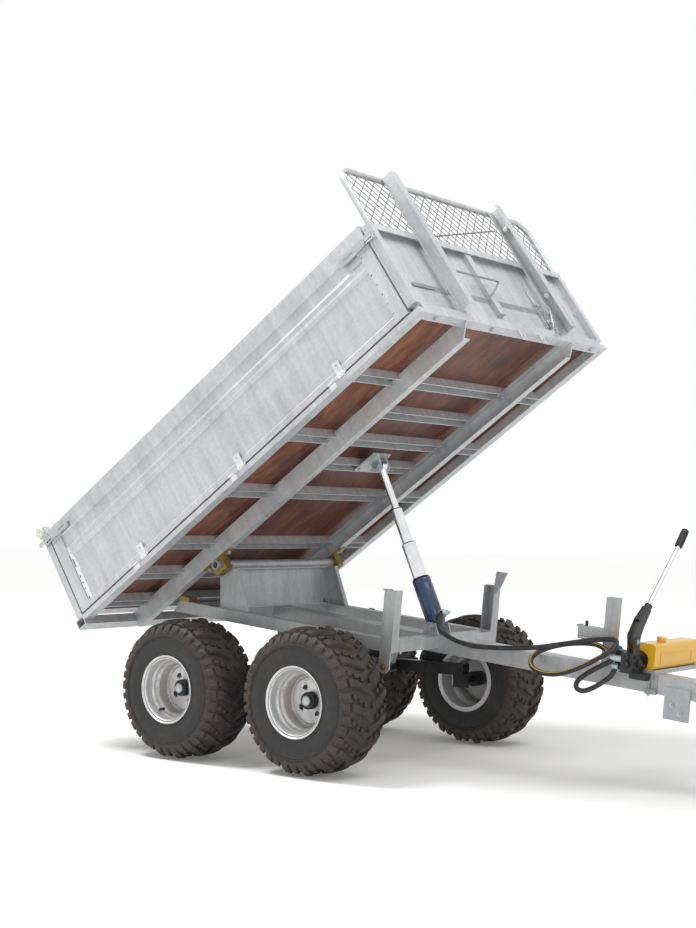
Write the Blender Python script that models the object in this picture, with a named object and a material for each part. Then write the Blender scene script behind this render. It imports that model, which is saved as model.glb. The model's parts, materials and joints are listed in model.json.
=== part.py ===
"""Tandem tipping trailer for a quad: galvanised frame, walking-beam axles and a three-stage lift.

Metres, +X forwards to the hitch, +Y to the left, +Z up, z = 0 on the floor under the middle of the
axles. The chassis stands a little nose-down on its leg, and the load bed is tipped.
"""

import math

import bmesh
import bpy
from mathutils import Matrix, Vector

# Gaps
SEAT = 0.0003
OVERRUN = 0.01
BITE = 0.0012
RUNNING_GAP = 0.006
PIN_PLAY = 0.0005

# Stance
CHASSIS_PITCH = math.radians(5.6)
TIP_ANGLE = math.radians(39.9)

# Tyres
TYRE_DIAMETER = 0.57
TYRE_WIDTH = 0.267
WHEEL_BASE = 0.675
TRACK = 1.18
TREAD_PITCHES = 16
TREAD_ROW_SHARES = (0.0, 0.1, 0.5, 0.6)
TREAD_ROW_RAISED = (False, True, True, False)
# Width and height shares of each tread ring between the lugs and on a lug, and its sweep in pitches
TREAD_RING_SHARES = (
    ((0.0, 0.955), (0.0, 0.955), -0.5),
    ((0.36, 0.92), (0.36, 1.0), -0.28),
    ((0.76, 0.86), (0.76, 0.955), 0.0),
    ((0.96, 0.7), (1.0, 0.775), 0.0),
)
SIDEWALL_SHARES = (0.985, 0.5)
STANDING_SHARE = 0.27
BEAD_SHARE = 0.93

# Rims
RIM_SEAT_RADIUS = 0.127
RIM_FLANGE_RADIUS = 0.139
RIM_WELL_RADIUS = 0.106
RIM_RING_RADIUS = 0.088
RIM_SHEET = 0.004
RIM_WALL = 0.008
RIM_WELL_REAR = 0.035
RIM_WELL_FRONT = 0.055
RIM_WELL_SLOPE = 0.016
RIM_DISC_OFFSET = 0.012
RIM_RING_RISE = 0.006
RIM_STEPS = 20
STUD_HOLE_RADIUS = 0.008
STUD_HOLES = 4
STUD_CIRCLE = 0.062
HUB_RADIUS = 0.034
HUB_FACE = 0.045
HUB_REAR = 0.06
HUB_CAP_RADIUS = 0.021
HUB_CAP_REACH = 0.062

# Walking beams, level on the floor
BEAM_SECTION = 0.05
BEAM_TO_WHEEL = 0.1975
BEAM_INSIDE = TRACK / 2 - BEAM_TO_WHEEL
BEAM_BASE_ABOVE_AXLE = 0.027
BEAM_END_REACH = 0.038
STUB_RADIUS = 0.015
STUB_REACH = 0.04
STUB_PLATE = 0.012
STUB_PLATE_DROP = 0.03
PIVOT_TUBE_RADIUS = 0.024
PIVOT_TUBE_BELOW_RAIL = 0.19
HANGER_THICKNESS = 0.01
HANGER_LENGTH = 0.16
HANGER_FOOT = 0.07

# Chassis frame, measured from the axle height in the pitched chassis axes
RAIL_TOP = 0.283
RAIL_TUBE = 0.05
RAIL_TO_BEAM = 0.0105
RAIL_OUTSIDE = BEAM_INSIDE - RAIL_TO_BEAM
RAIL_REAR = -0.62
RAIL_FRONT = 0.529
RAIL_REAR_SLANT = 0.03
TUBE_WALL = 0.004
OPEN_END_DEPTH = 0.06
CROSS_TUBE = 0.05
MID_CROSS = -0.42
REAR_CROSS = -0.6
POST_LENGTH = 0.055
POST_DEPTH = 0.045
POST_SHEET = 0.006
POST_TOP = 0.477
POST_LIP = 0.008
POST_HOLE_RADIUS = 0.004
GUIDE_TOP = 0.541
GUIDE_FOOT = 0.43
GUIDE_LEAN = 0.024
GUIDE_SHEET = 0.006
LUG_LENGTH = 0.052
LUG_DROP = 0.084
LUG_PLATE = 0.008
LUG_HOLE_RADIUS = 0.008
PAD_SIDE = 0.055
PAD_HEIGHT = 0.02

# Drawbar
DRAWBAR_WIDTH = 0.1
DRAWBAR_DEPTH = 0.068
DRAWBAR_BEND = 1.65
DRAWBAR_DROP_RUN = 0.16
DRAWBAR_DROP = 0.055
DRAWBAR_FRONT = 1.92
STOP_POST_REAR = 1.25
STOP_POST_LENGTH = 0.045
STOP_POST_WIDTH = 0.04
STOP_POST_TOP = 0.54
STOP_BAR_REAR = 1.14
STOP_BAR_TOP = 0.417
STOP_BAR_DEPTH = 0.047
STOP_LIP = 0.006
HANG_PLATE_REAR = 1.54
HANG_PLATE_LENGTH = 0.1
HANG_PLATE_DROP = 0.082
HANG_PLATE_THICKNESS = 0.008
HANG_HOLE_RADIUS = 0.006

# Ball coupling on the nose of the drawbar
COUPLING_WIDTH = 0.07
COUPLING_LENGTH = 0.16
COUPLING_HEIGHT = 0.05
COUPLING_WALL = 0.006
BALL_RADIUS = 0.025
COUPLING_LEVER = 0.09
COUPLING_LEVER_RISE = 0.03
COUPLING_LEVER_WIDTH = 0.026

# Parking leg
LEG_ALONG = 1.74
LEG_TUBE = 0.036
LEG_PLAY = 0.002
LEG_PIN_RADIUS = 0.008
LEG_PIN_BELOW_TOP = 0.07
LEG_BRACKET = 0.008
LEG_BRACKET_LENGTH = 0.07
LEG_FOOT = 0.09
LEG_FOOT_PLATE = 0.008

# Hinge tower
HINGE_ALONG = -0.393
HINGE_HEIGHT = 0.467
HINGE_TUBE_RADIUS = 0.0195
HINGE_TUBE_WALL = 0.0045
TOWER_SHEET = 0.008
TOWER_TOP_REAR = 0.03
TOWER_TOP_FRONT = 0.05
TOWER_BASE_REAR = -0.01
TOWER_BASE_FRONT = 0.135
TOWER_FLANGE = 0.022
TOWER_PLATE_FOOT = 0.022
TOWER_PLATE_TOP = -0.02
TOWER_NOTCH = 0.03

# Load bed, measured from the hinge axis in the tipped bed axes
BED_LENGTH = 2.15
BED_WIDTH = 1.412
BED_BEHIND_HINGE = 0.58
BED_ABOVE_HINGE = 0.081
SIDE_RAIL_HEIGHT = 0.022
SIDE_RAIL_WIDTH = 0.05
SIDE_RAIL_WALL = 0.012
SILL_HEIGHT = 0.045
SILL_WIDTH = 0.04
REAR_SILL_BEHIND = 0.018
REAR_SILL_FRONT = 0.034
REAR_SILL_BASE = -0.022
REAR_SILL_TOP = 0.018
BEARER_WIDTH = 0.045
BEARER_DEPTH = 0.04
BEARER_SHEET = 0.004
BEARER_PLACES = (0.15, 0.37, 0.6, 0.985, 1.37, 1.755)
LIFT_BEARER_PLACE = 1.2
INNER_BEARER_PLACE = 1.56
SPINE_OUTSIDE = 0.405
SPINE_WIDTH = 0.04
SPINE_DEPTH = 0.052
SPINE_SHEET = 0.004
SPINE_NOSE = 0.05
FLOOR_THICKNESS = 0.02
FLOOR_INSET = 0.042
LUG_PAIR_PLACES = (-0.03, 0.13)
LUG_PAIR_SIDE = 0.04
TOWER_TO_SPINE = 0.008
TOWER_OUTSIDE = SPINE_OUTSIDE - SPINE_WIDTH - TOWER_TO_SPINE
HINGE_TUBE_PAST_SPINE = 0.02
HINGE_TUBE_REACH = SPINE_OUTSIDE + HINGE_TUBE_PAST_SPINE

# Hinge brackets
BRACKET_PLATE = 0.17
BRACKET_THICKNESS = 0.006
BRACKET_SADDLE = 0.07
BRACKET_BELOW = 0.035

# Headboard
PANEL_THICKNESS = 0.012
HEADBOARD_TOP = 0.43
HEADBOARD_RAIL = 0.04
HEADBOARD_RAIL_SHEET = 0.004
HEADBOARD_RAIL_LIP = 0.03
UPRIGHT_DEPTH = 0.05
UPRIGHT_WIDTH = 0.04
UPRIGHT_SHEET = 0.004
UPRIGHT_TOP = 0.715
CENTRE_UPRIGHT = -0.05
BAND_HEIGHT = 0.155
BAND_WIDTH = 0.022
BAND_RISE = 0.004
BAND_FROM = -0.457
BAND_TO = 0.29
MESH_TOP = 0.73
MESH_TUBE_RADIUS = 0.012
MESH_CORNER_RADIUS = 0.07
MESH_CORNER_STEPS = 4
MESH_THICKNESS = 0.004
MESH_CELL_LONG = 0.114
MESH_CELL_TALL = 0.106
MESH_STRAND = 0.006
MESH_BORDER = 0.006
CORNER_POST = 0.032

# Headboard latch
LATCH_ALONG = 0.32
LATCH_WIDTH = 0.04
LATCH_TOP = 0.2
LATCH_SHEET = 0.005
LATCH_ROD = 0.006

# Drop sides
SIDE_BOTTOM = 0.03
SIDE_TOP = 0.448
SIDE_THICKNESS = 0.028
SIDE_RAIL_UNDER = 0.385
SIDE_RIDGE = 0.3
SIDE_RIDGE_HALF = 0.014
SIDE_FOLD = 0.175
SIDE_HEM = 0.025
SIDE_END = 0.06
SIDE_GAP = 0.008
SIDE_RECESS = 0.007
KNUCKLE_RADIUS = 0.0077
KNUCKLE_LENGTH = 0.06
KNUCKLE_PLACES = (0.469, 1.114, 1.713)
FRONT_LATCH = (1.965, 2.145)
FRONT_LATCH_HEIGHT = 0.38
REAR_LATCH = (-0.03, 0.19)
REAR_LATCH_HEIGHT = 0.415
SIDE_LATCH_WIDTH = 0.016
SIDE_LATCH_DEPTH = 0.008
SIDE_LATCH_SEAT = 0.03

# Tailgate
GATE_THICKNESS = 0.028
GATE_BOTTOM = 0.05
GATE_PIVOT_HEIGHT = 0.462
GATE_PIVOT_RADIUS = 0.009
GATE_EAR = 0.03
GATE_EAR_TOP = 0.018
PIVOT_HOUSING = 0.018

# Lift cylinder
LIFT_FOOT_ALONG = 0.482
LIFT_FOOT_HEIGHT = 0.312
LIFT_PIN_RADIUS = 0.006
LIFT_EYE_ALONG_BED = 1.281
LIFT_EYE_HEIGHT_BED = -0.041
BARREL_RADIUS = 0.0395
BARREL_LENGTH = 0.214
BARREL_FOOT = 0.01
BARREL_FLOOR = 0.02
BARREL_FOOT_SHARE = 0.6
STAGE_LARGE_RADIUS = 0.0305
STAGE_SMALL_RADIUS = 0.023
ROD_RADIUS = 0.015
STAGE_TRAVEL = 0.157
STAGE_HOLD = 0.03
STAGE_HOLD_STEP = 0.01
ROD_EYE_RADIUS = 0.026
ROD_EYE_WIDTH = 0.03
ROD_PIN_RADIUS = 0.012
LIFT_STEPS = 24
PORT_OUT = 0.075
PORT_HEIGHT = 0.035
PORT_REACH = 0.034
PORT_RADIUS = 0.008
PORT_NUT_RADIUS = 0.0125
PORT_NUT = 0.014
CLEVIS_CHEEK = 0.01
CLEVIS_LENGTH = 0.06
CLEVIS_PLATE_REAR = 0.09
CLEVIS_PLATE_FRONT = 0.035
CLEVIS_PLATE_WIDTH = 0.12
CLEVIS_PLATE = 0.006

# Hand pump, across the drawbar
TANK_REAR = 1.405
TANK_DEPTH = 0.08
TANK_NEAR = -0.05
TANK_FAR = 0.32
TANK_BASE = 0.2993
TANK_HEIGHT = 0.095
TANK_ROUND = 0.012
TANK_CAP_ALONG = 0.07
TANK_CAP_RADIUS = 0.012
TANK_CAP_HEIGHT = 0.012
TRAY_MARGIN = 0.005
TRAY_FAR = 0.37
TRAY_HEIGHT = 0.0157
TRAY_SHEET = 0.004
HEAD_REAR = 1.395
VALVE_REAR = 1.35
VALVE_NEAR = -0.1
VALVE_BASE = 0.3
HEAD_FRONT = 1.444
HEAD_NEAR = -0.145
HEAD_TO_TANK = 0.0065
HEAD_TOP = 0.36
HEAD_BASE = 0.285
HEAD_FOOT_BASE = 0.262
HEAD_FOOT_LENGTH = 0.067
HEAD_FLANGE_RADIUS = 0.036
CLEVIS_NEAR = -0.142
CLEVIS_FAR = -0.1
HEAD_EARS_TOP = 0.42
EAR_SHEET = 0.006
LEVER_WIDTH = 0.018
LEVER_PLANE = 1.43
LEVER_FOOT = (-0.121, 0.392)
LEVER_SHOULDER = (-0.066, 0.487)
LEVER_SOCKET = (-0.011, 0.538)
LEVER_KINK = (0.094, 0.634)
LEVER_GRIP = (0.175, 0.759)
LEVER_TIP = (0.215, 0.82)
LEVER_ROD_RADIUS = 0.007
LEVER_GRIP_RADIUS = 0.013
LEVER_SOCKET_RADIUS = 0.011

# Hoses: routes in the chassis axes
HOSE_DIAMETER = 0.019
HOSE_SPACING_SHARE = 1.7
FERRULE_RADIUS = 0.012
HOSE_LEAD = 0.012
FERRULE_END = (1.372, -0.13, 0.332)
UNION_END = (1.378, -0.12, 0.3)
UNION_RADIUS = 0.01
INLET_END = (1.325, -0.082, 0.34)
LIFT_HOSE_ROUTE = (
    (0.531, -0.066, 0.364), (0.535, -0.077, 0.341), (0.545, -0.08, 0.319), (0.568, -0.08, 0.302),
    (0.6, -0.08, 0.289), (0.64, -0.08, 0.279), (0.689, -0.08, 0.273), (0.735, -0.08, 0.273),
    (0.791, -0.08, 0.279), (0.87, -0.08, 0.289), (0.946, -0.08, 0.301), (1.026, -0.08, 0.318),
    (1.104, -0.08, 0.34), (1.18, -0.078, 0.361), (1.255, -0.075, 0.38), (1.315, -0.083, 0.391),
    (1.353, -0.108, 0.39), (1.362, -0.136, 0.372), (1.339, -0.152, 0.345), (1.3, -0.158, 0.317),
    (1.254, -0.158, 0.288), (1.204, -0.156, 0.261), (1.145, -0.152, 0.238), (1.087, -0.146, 0.229),
    (1.034, -0.132, 0.234), (1.0, -0.112, 0.25), (0.991, -0.09, 0.272), (1.007, -0.07, 0.296),
    (1.052, -0.054, 0.32), (1.108, -0.047, 0.339), (1.175, -0.046, 0.353), (1.235, -0.05, 0.358),
    (1.285, -0.066, 0.35),
)
LOOP_HOSE_ROUTE = (
    (1.343, -0.132, 0.314), (1.298, -0.136, 0.285), (1.252, -0.14, 0.251), (1.222, -0.14, 0.22),
    (1.22, -0.136, 0.195), (1.246, -0.13, 0.189), (1.283, -0.125, 0.207), (1.32, -0.122, 0.235),
    (1.35, -0.12, 0.263),
)

AXLE_HEIGHT = TYRE_DIAMETER / 2


def clear_scene():
    for thing in list(bpy.data.objects):
        bpy.data.objects.remove(thing, do_unlink=True)


def paint(name, colour, roughness, metallic):
    made = bpy.data.materials.new(name)
    made.use_nodes = True
    shader = made.node_tree.nodes["Principled BSDF"]
    shader.inputs["Base Color"].default_value = (*colour, 1)
    shader.inputs["Roughness"].default_value = roughness
    shader.inputs["Metallic"].default_value = metallic
    return made


GALVANISED = ((0.62, 0.64, 0.65), 0.45, 0.85)
BLACK_STEEL = ((0.02, 0.02, 0.022), 0.5, 0.2)
RUBBER = ((0.045, 0.038, 0.034), 0.85, 0.0)
SILVER = ((0.7, 0.71, 0.72), 0.35, 0.8)
CHROME = ((0.8, 0.8, 0.8), 0.12, 1.0)
ZINC_YELLOW = ((0.62, 0.48, 0.2), 0.4, 0.8)
BRIGHT_ZINC = ((0.75, 0.77, 0.8), 0.3, 0.9)
WOOD = ((0.24, 0.09, 0.05), 0.6, 0.0)
BLUE_STEEL = ((0.03, 0.07, 0.14), 0.4, 0.3)
YELLOW = ((0.8, 0.55, 0.03), 0.4, 0.0)
BLACK_RUBBER = ((0.02, 0.02, 0.02), 0.6, 0.0)


def axes(name, location, pitch, parent=None):
    """An empty that carries a group of pieces."""
    empty = bpy.data.objects.new(name, None)
    bpy.context.scene.collection.objects.link(empty)
    empty.parent = parent
    empty.location = location
    empty.rotation_euler = (0, pitch, 0)
    return empty


# Closed shapes as lists of corners and faces

def extruded(outline, low, high, along):
    """A prism on an outline in the two other axes, taken in the order X, Y, Z."""
    place = {
        "X": lambda a, b, c: (c, a, b),
        "Y": lambda a, b, c: (a, c, b),
        "Z": lambda a, b, c: (a, b, c),
    }[along]
    count = len(outline)
    corners = [place(a, b, low) for a, b in outline] + [place(a, b, high) for a, b in outline]
    faces = [tuple(range(count)), tuple(range(count, 2 * count))]
    for i in range(count):
        j = (i + 1) % count
        faces.append((i, j, count + j, count + i))
    return corners, faces


def block(x, y, z):
    """A box between pairs of limits, in either order."""
    (x0, x1), (y0, y1), (z0, z1) = sorted(x), sorted(y), sorted(z)
    return extruded([(x0, y0), (x1, y0), (x1, y1), (x0, y1)], z0, z1, "Z")


def turned(profile, centre, axis, steps):
    """A solid of revolution: a closed profile of (radius, distance along the axis)."""
    axis = Vector(axis).normalized()
    side = axis.orthogonal().normalized()
    other = axis.cross(side)
    centre = Vector(centre)
    corners = []
    rings = []
    for radius, distance in profile:
        if radius == 0:
            corners.append(centre + axis * distance)
            rings.append([len(corners) - 1] * steps)
            continue
        ring = []
        for i in range(steps):
            turn = math.tau * i / steps
            spoke = side * math.cos(turn) + other * math.sin(turn)
            corners.append(centre + axis * distance + spoke * radius)
            ring.append(len(corners) - 1)
        rings.append(ring)
    faces = []
    for k in range(len(rings)):
        near, far = rings[k], rings[(k + 1) % len(rings)]
        for i in range(steps):
            j = (i + 1) % steps
            face = []
            for corner in (near[i], near[j], far[j], far[i]):
                if corner not in face:
                    face.append(corner)
            if len(face) > 2:
                faces.append(tuple(face))
    return corners, faces


def bar(start, end, radius, steps=12):
    """A round bar between two points."""
    start, end = Vector(start), Vector(end)
    reach = (end - start).length
    profile = [(0, 0), (radius, 0), (radius, reach), (0, reach)]
    return turned(profile, start, end - start, steps)


def pipe(path, radius, steps=10):
    """A round bar bent along a path."""
    path = [Vector(point) for point in path]
    corners = []
    side = None
    for i, point in enumerate(path):
        before = (point - path[max(i - 1, 0)])
        after = (path[min(i + 1, len(path) - 1)] - point)
        along = (before.normalized() + after.normalized()).normalized()
        if side is None:
            side = along.orthogonal().normalized()
        side = (side - along * side.dot(along)).normalized()
        other = along.cross(side)
        for k in range(steps):
            turn = math.tau * k / steps
            corners.append(point + (side * math.cos(turn) + other * math.sin(turn)) * radius)
    faces = [tuple(range(steps)), tuple(range(len(corners) - steps, len(corners)))]
    for i in range(len(path) - 1):
        for k in range(steps):
            j = (k + 1) % steps
            near, far = i * steps, (i + 1) * steps
            faces.append((near + k, near + j, far + j, far + k))
    return corners, faces


def mirrored(shape):
    """The same shape on the other side of the trailer."""
    corners, faces = shape
    return [(x, -y, z) for x, y, z in corners], faces


def mesh_of(name, shape):
    corners, faces = shape
    mesh = bpy.data.meshes.new(name)
    mesh.from_pydata([tuple(corner) for corner in corners], [], faces)
    work = bmesh.new()
    work.from_mesh(mesh)
    bmesh.ops.recalc_face_normals(work, faces=work.faces)
    work.to_mesh(mesh)
    work.free()
    return mesh


def solid(name, shapes, parent, look, cuts=(), smooth=True):
    """One node: its shapes joined into one body, less its cuts."""
    body = bpy.data.objects.new(name, mesh_of(name, shapes[0]))
    bpy.context.scene.collection.objects.link(body)
    body.parent = parent
    body.data.materials.append(paint(name, *look))
    for use, tools in (("UNION", shapes[1:]), ("DIFFERENCE", cuts)):
        if not tools:
            continue
        group = bpy.data.collections.new(name + "_" + use.lower())
        bpy.context.scene.collection.children.link(group)
        for count, shape in enumerate(tools):
            tool_name = "tool_" + name + "_" + use.lower() + str(count)
            tool = bpy.data.objects.new(tool_name, mesh_of(tool_name, shape))
            tool.parent = parent
            tool.hide_render = True
            tool.display_type = "WIRE"
            group.objects.link(tool)
        joint = body.modifiers.new(use.title(), "BOOLEAN")
        joint.operation = use
        joint.operand_type = "COLLECTION"
        joint.collection = group
        joint.solver = "EXACT"
    if smooth:
        body.data.shade_smooth()
        body.data.set_sharp_from_angle(angle=math.radians(35))
    return body


# Chassis

def frame_half(side, parent):
    """A rail with half of each cross tube, its bed post and the lug under its front corner."""
    name = "frame_right" if side < 0 else "frame_left"
    inner = RAIL_OUTSIDE - RAIL_TUBE
    base = RAIL_TOP - RAIL_TUBE
    rail = extruded(
        [
            (RAIL_REAR - RAIL_REAR_SLANT, base),
            (RAIL_FRONT, base),
            (RAIL_FRONT, RAIL_TOP),
            (RAIL_REAR, RAIL_TOP),
        ],
        inner, RAIL_OUTSIDE, "Y",
    )
    shapes = [rail]
    drawbar_face = DRAWBAR_WIDTH / 2 + SEAT
    for front, reach in (
        (RAIL_FRONT, drawbar_face), (MID_CROSS + CROSS_TUBE, SEAT / 2), (REAR_CROSS + CROSS_TUBE, SEAT / 2),
    ):
        shapes.append(block((front - CROSS_TUBE, front), (reach, inner + OVERRUN), (base + SEAT, RAIL_TOP - SEAT)))
    # The post is a channel, open towards the middle and at its top, with a small lip over its web
    post_rear = RAIL_FRONT - POST_LENGTH
    post_front = RAIL_FRONT + SEAT
    post_outside = RAIL_OUTSIDE + SEAT
    post_inner = post_outside - POST_DEPTH
    post = extruded(
        [
            (post_rear, post_inner),
            (post_rear, post_outside),
            (post_front, post_outside),
            (post_front, post_inner),
            (post_front - POST_SHEET, post_inner),
            (post_front - POST_SHEET, post_outside - POST_SHEET),
            (post_rear + POST_SHEET, post_outside - POST_SHEET),
            (post_rear + POST_SHEET, post_inner),
        ],
        base + SEAT * 2, POST_TOP, "Z",
    )
    lip = block(
        (post_rear - POST_LIP, post_rear + POST_LENGTH / 2),
        (post_outside - POST_DEPTH / 2, post_outside + SEAT),
        (POST_TOP - POST_SHEET, POST_TOP + SEAT),
    )
    shapes += [post, lip]
    rounding = LUG_LENGTH / 3
    lug = extruded(
        [
            (post_rear + SEAT, RAIL_TOP - RAIL_TUBE / 2),
            (post_rear + LUG_LENGTH, RAIL_TOP - RAIL_TUBE / 2),
            (post_rear + LUG_LENGTH, base - LUG_DROP + rounding),
            (post_rear + rounding * 2, base - LUG_DROP),
            (post_rear + rounding, base - LUG_DROP),
            (post_rear + SEAT, base - LUG_DROP + rounding),
        ],
        RAIL_OUTSIDE - LUG_PLATE, RAIL_OUTSIDE - SEAT, "Y",
    )
    hanger = extruded(
        [
            (-HANGER_LENGTH / 2, base + BITE),
            (HANGER_LENGTH / 2, base + BITE),
            (HANGER_FOOT / 2, base - PIVOT_TUBE_BELOW_RAIL + PIVOT_TUBE_RADIUS),
            (-HANGER_FOOT / 2, base - PIVOT_TUBE_BELOW_RAIL + PIVOT_TUBE_RADIUS),
        ],
        inner + OVERRUN, inner + OVERRUN + HANGER_THICKNESS, "Y",
    )
    shapes += [lug, hanger]
    hole_height = base - LUG_DROP + LUG_LENGTH / 2
    cuts = [
        bar(
            (post_rear + LUG_LENGTH / 2, inner, hole_height),
            (post_rear + LUG_LENGTH / 2, RAIL_OUTSIDE + OVERRUN, hole_height),
            LUG_HOLE_RADIUS,
        ),
        block(
            (RAIL_REAR - RAIL_REAR_SLANT - OVERRUN, RAIL_REAR + OPEN_END_DEPTH - RAIL_REAR_SLANT),
            (inner + TUBE_WALL, RAIL_OUTSIDE - TUBE_WALL),
            (base + TUBE_WALL, RAIL_TOP - TUBE_WALL),
        ),
    ]
    if side < 0:
        shapes = [mirrored(shape) for shape in shapes]
        cuts = [mirrored(shape) for shape in cuts]
    else:
        shapes.append(extruded(
            [
                (post_front - POST_SHEET, GUIDE_FOOT),
                (post_front + POST_LENGTH / 2, GUIDE_FOOT + GUIDE_LEAN * 2),
                (post_front + POST_LENGTH, GUIDE_TOP),
                (post_front + SEAT, GUIDE_TOP),
                (post_front - POST_SHEET, POST_TOP - POST_SHEET),
            ],
            post_inner + SEAT, post_inner + GUIDE_SHEET, "Y",
        ))
    return solid(name, shapes, parent, GALVANISED, cuts)


def drawbar(parent):
    """The box tube from the tower to the nose, with its stop post, lift lugs and plates."""
    half = DRAWBAR_WIDTH / 2
    base = RAIL_TOP - DRAWBAR_DEPTH
    drop_end = DRAWBAR_BEND + DRAWBAR_DROP_RUN
    rear = MID_CROSS + CROSS_TUBE + SEAT
    tube = extruded(
        [
            (rear, base),
            (DRAWBAR_BEND, base),
            (drop_end, base - DRAWBAR_DROP),
            (DRAWBAR_FRONT, base - DRAWBAR_DROP),
            (DRAWBAR_FRONT, RAIL_TOP - DRAWBAR_DROP),
            (drop_end, RAIL_TOP - DRAWBAR_DROP),
            (DRAWBAR_BEND, RAIL_TOP),
            (rear, RAIL_TOP),
        ],
        -half, half, "Y",
    )
    post_front = STOP_POST_REAR + STOP_POST_LENGTH
    post_half = STOP_POST_WIDTH / 2
    post = block((STOP_POST_REAR, post_front), (-post_half, post_half), (RAIL_TOP - BITE, STOP_POST_TOP))
    stop = block(
        (STOP_BAR_REAR, STOP_POST_REAR + BITE),
        (-post_half + SEAT, post_half - SEAT),
        (STOP_BAR_TOP - STOP_BAR_DEPTH, STOP_BAR_TOP),
    )
    stop_lip = block(
        (STOP_BAR_REAR - STOP_LIP, STOP_BAR_REAR + SEAT),
        (-post_half, post_half),
        (STOP_BAR_TOP - STOP_LIP, STOP_BAR_TOP + STOP_LIP / 2),
    )
    plate = block(
        (HANG_PLATE_REAR, HANG_PLATE_REAR + HANG_PLATE_LENGTH),
        (-half - HANG_PLATE_THICKNESS, -half + BITE),
        (base - HANG_PLATE_DROP, base + DRAWBAR_DEPTH / 2),
    )
    shapes = [tube, post, stop, stop_lip, plate]
    lug_base, lug_tip = HINGE_TUBE_RADIUS * 2, HINGE_TUBE_RADIUS
    for side in (-1, 1):
        near = side * (half - TOWER_SHEET)
        far = side * (half - BITE)
        shapes.append(extruded(
            [
                (LIFT_FOOT_ALONG - lug_base, RAIL_TOP - BITE),
                (LIFT_FOOT_ALONG + lug_base, RAIL_TOP - BITE),
                (LIFT_FOOT_ALONG + lug_tip, LIFT_FOOT_HEIGHT + lug_tip),
                (LIFT_FOOT_ALONG - lug_tip, LIFT_FOOT_HEIGHT + lug_tip),
            ],
            min(near, far), max(near, far), "Y",
        ))
    shapes.append(bar(
        (LIFT_FOOT_ALONG, -half + BITE * 2, LIFT_FOOT_HEIGHT),
        (LIFT_FOOT_ALONG, half - BITE * 2, LIFT_FOOT_HEIGHT),
        LIFT_PIN_RADIUS,
    ))
    bracket = block(
        (LEG_ALONG - LEG_BRACKET_LENGTH / 2, LEG_ALONG + LEG_BRACKET_LENGTH / 2),
        (half - BITE, half + LEG_BRACKET),
        (base - DRAWBAR_DROP, RAIL_TOP - LEG_PIN_BELOW_TOP / 2),
    )
    leg_pin_height = RAIL_TOP - LEG_PIN_BELOW_TOP
    pin = bar(
        (LEG_ALONG, half, leg_pin_height),
        (LEG_ALONG, half + LEG_BRACKET + LEG_TUBE + RUNNING_GAP * 2, leg_pin_height),
        LEG_PIN_RADIUS,
    )
    shapes += [bracket, pin]
    cuts = []
    for share in (1 / 3, 2 / 3):
        along = HANG_PLATE_REAR + HANG_PLATE_LENGTH * share
        height = base - HANG_PLATE_DROP * share
        cuts.append(bar((along, -half - OVERRUN, height), (along, 0, height), HANG_HOLE_RADIUS, 8))
    return solid("drawbar", shapes, parent, GALVANISED, cuts)


def coupling_head(parent):
    """A pressed ball coupling: a tapering body over a round socket, with its lever on top."""
    base = RAIL_TOP - DRAWBAR_DEPTH - DRAWBAR_DROP
    rear = DRAWBAR_FRONT + SEAT
    ball = rear + COUPLING_LENGTH - COUPLING_WIDTH / 2
    half = COUPLING_WIDTH / 2
    low = base + (DRAWBAR_DEPTH - COUPLING_HEIGHT) / 2
    body = extruded([(rear, -half), (ball, -half), (ball, half), (rear, half)], low, low + COUPLING_HEIGHT, "Z")
    cup = bar((ball, 0, low - SEAT), (ball, 0, low + COUPLING_HEIGHT - SEAT), half + SEAT, RIM_STEPS)
    neck = block((rear + SEAT, rear + COUPLING_WALL), (-DRAWBAR_WIDTH / 2, DRAWBAR_WIDTH / 2), (base, base + DRAWBAR_DEPTH))
    lever = extruded(
        [
            (ball - COUPLING_LEVER, low + COUPLING_HEIGHT + COUPLING_LEVER_RISE),
            (ball, low + COUPLING_HEIGHT - BITE),
            (ball, low + COUPLING_HEIGHT + COUPLING_WALL),
            (ball - COUPLING_LEVER, low + COUPLING_HEIGHT + COUPLING_LEVER_RISE + COUPLING_WALL),
        ],
        -COUPLING_LEVER_WIDTH / 2, COUPLING_LEVER_WIDTH / 2, "Y",
    )
    socket = bar((ball, 0, low - OVERRUN), (ball, 0, low + BALL_RADIUS), BALL_RADIUS + SEAT, RIM_STEPS)
    hollow = block(
        (rear + COUPLING_WALL * 2, ball - BALL_RADIUS + COUPLING_WALL),
        (-half + COUPLING_WALL, half - COUPLING_WALL),
        (low - OVERRUN, low + BALL_RADIUS - SEAT),
    )
    return solid("coupling_head", [body, cup, neck, lever], parent, BRIGHT_ZINC, [socket, hollow])


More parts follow.
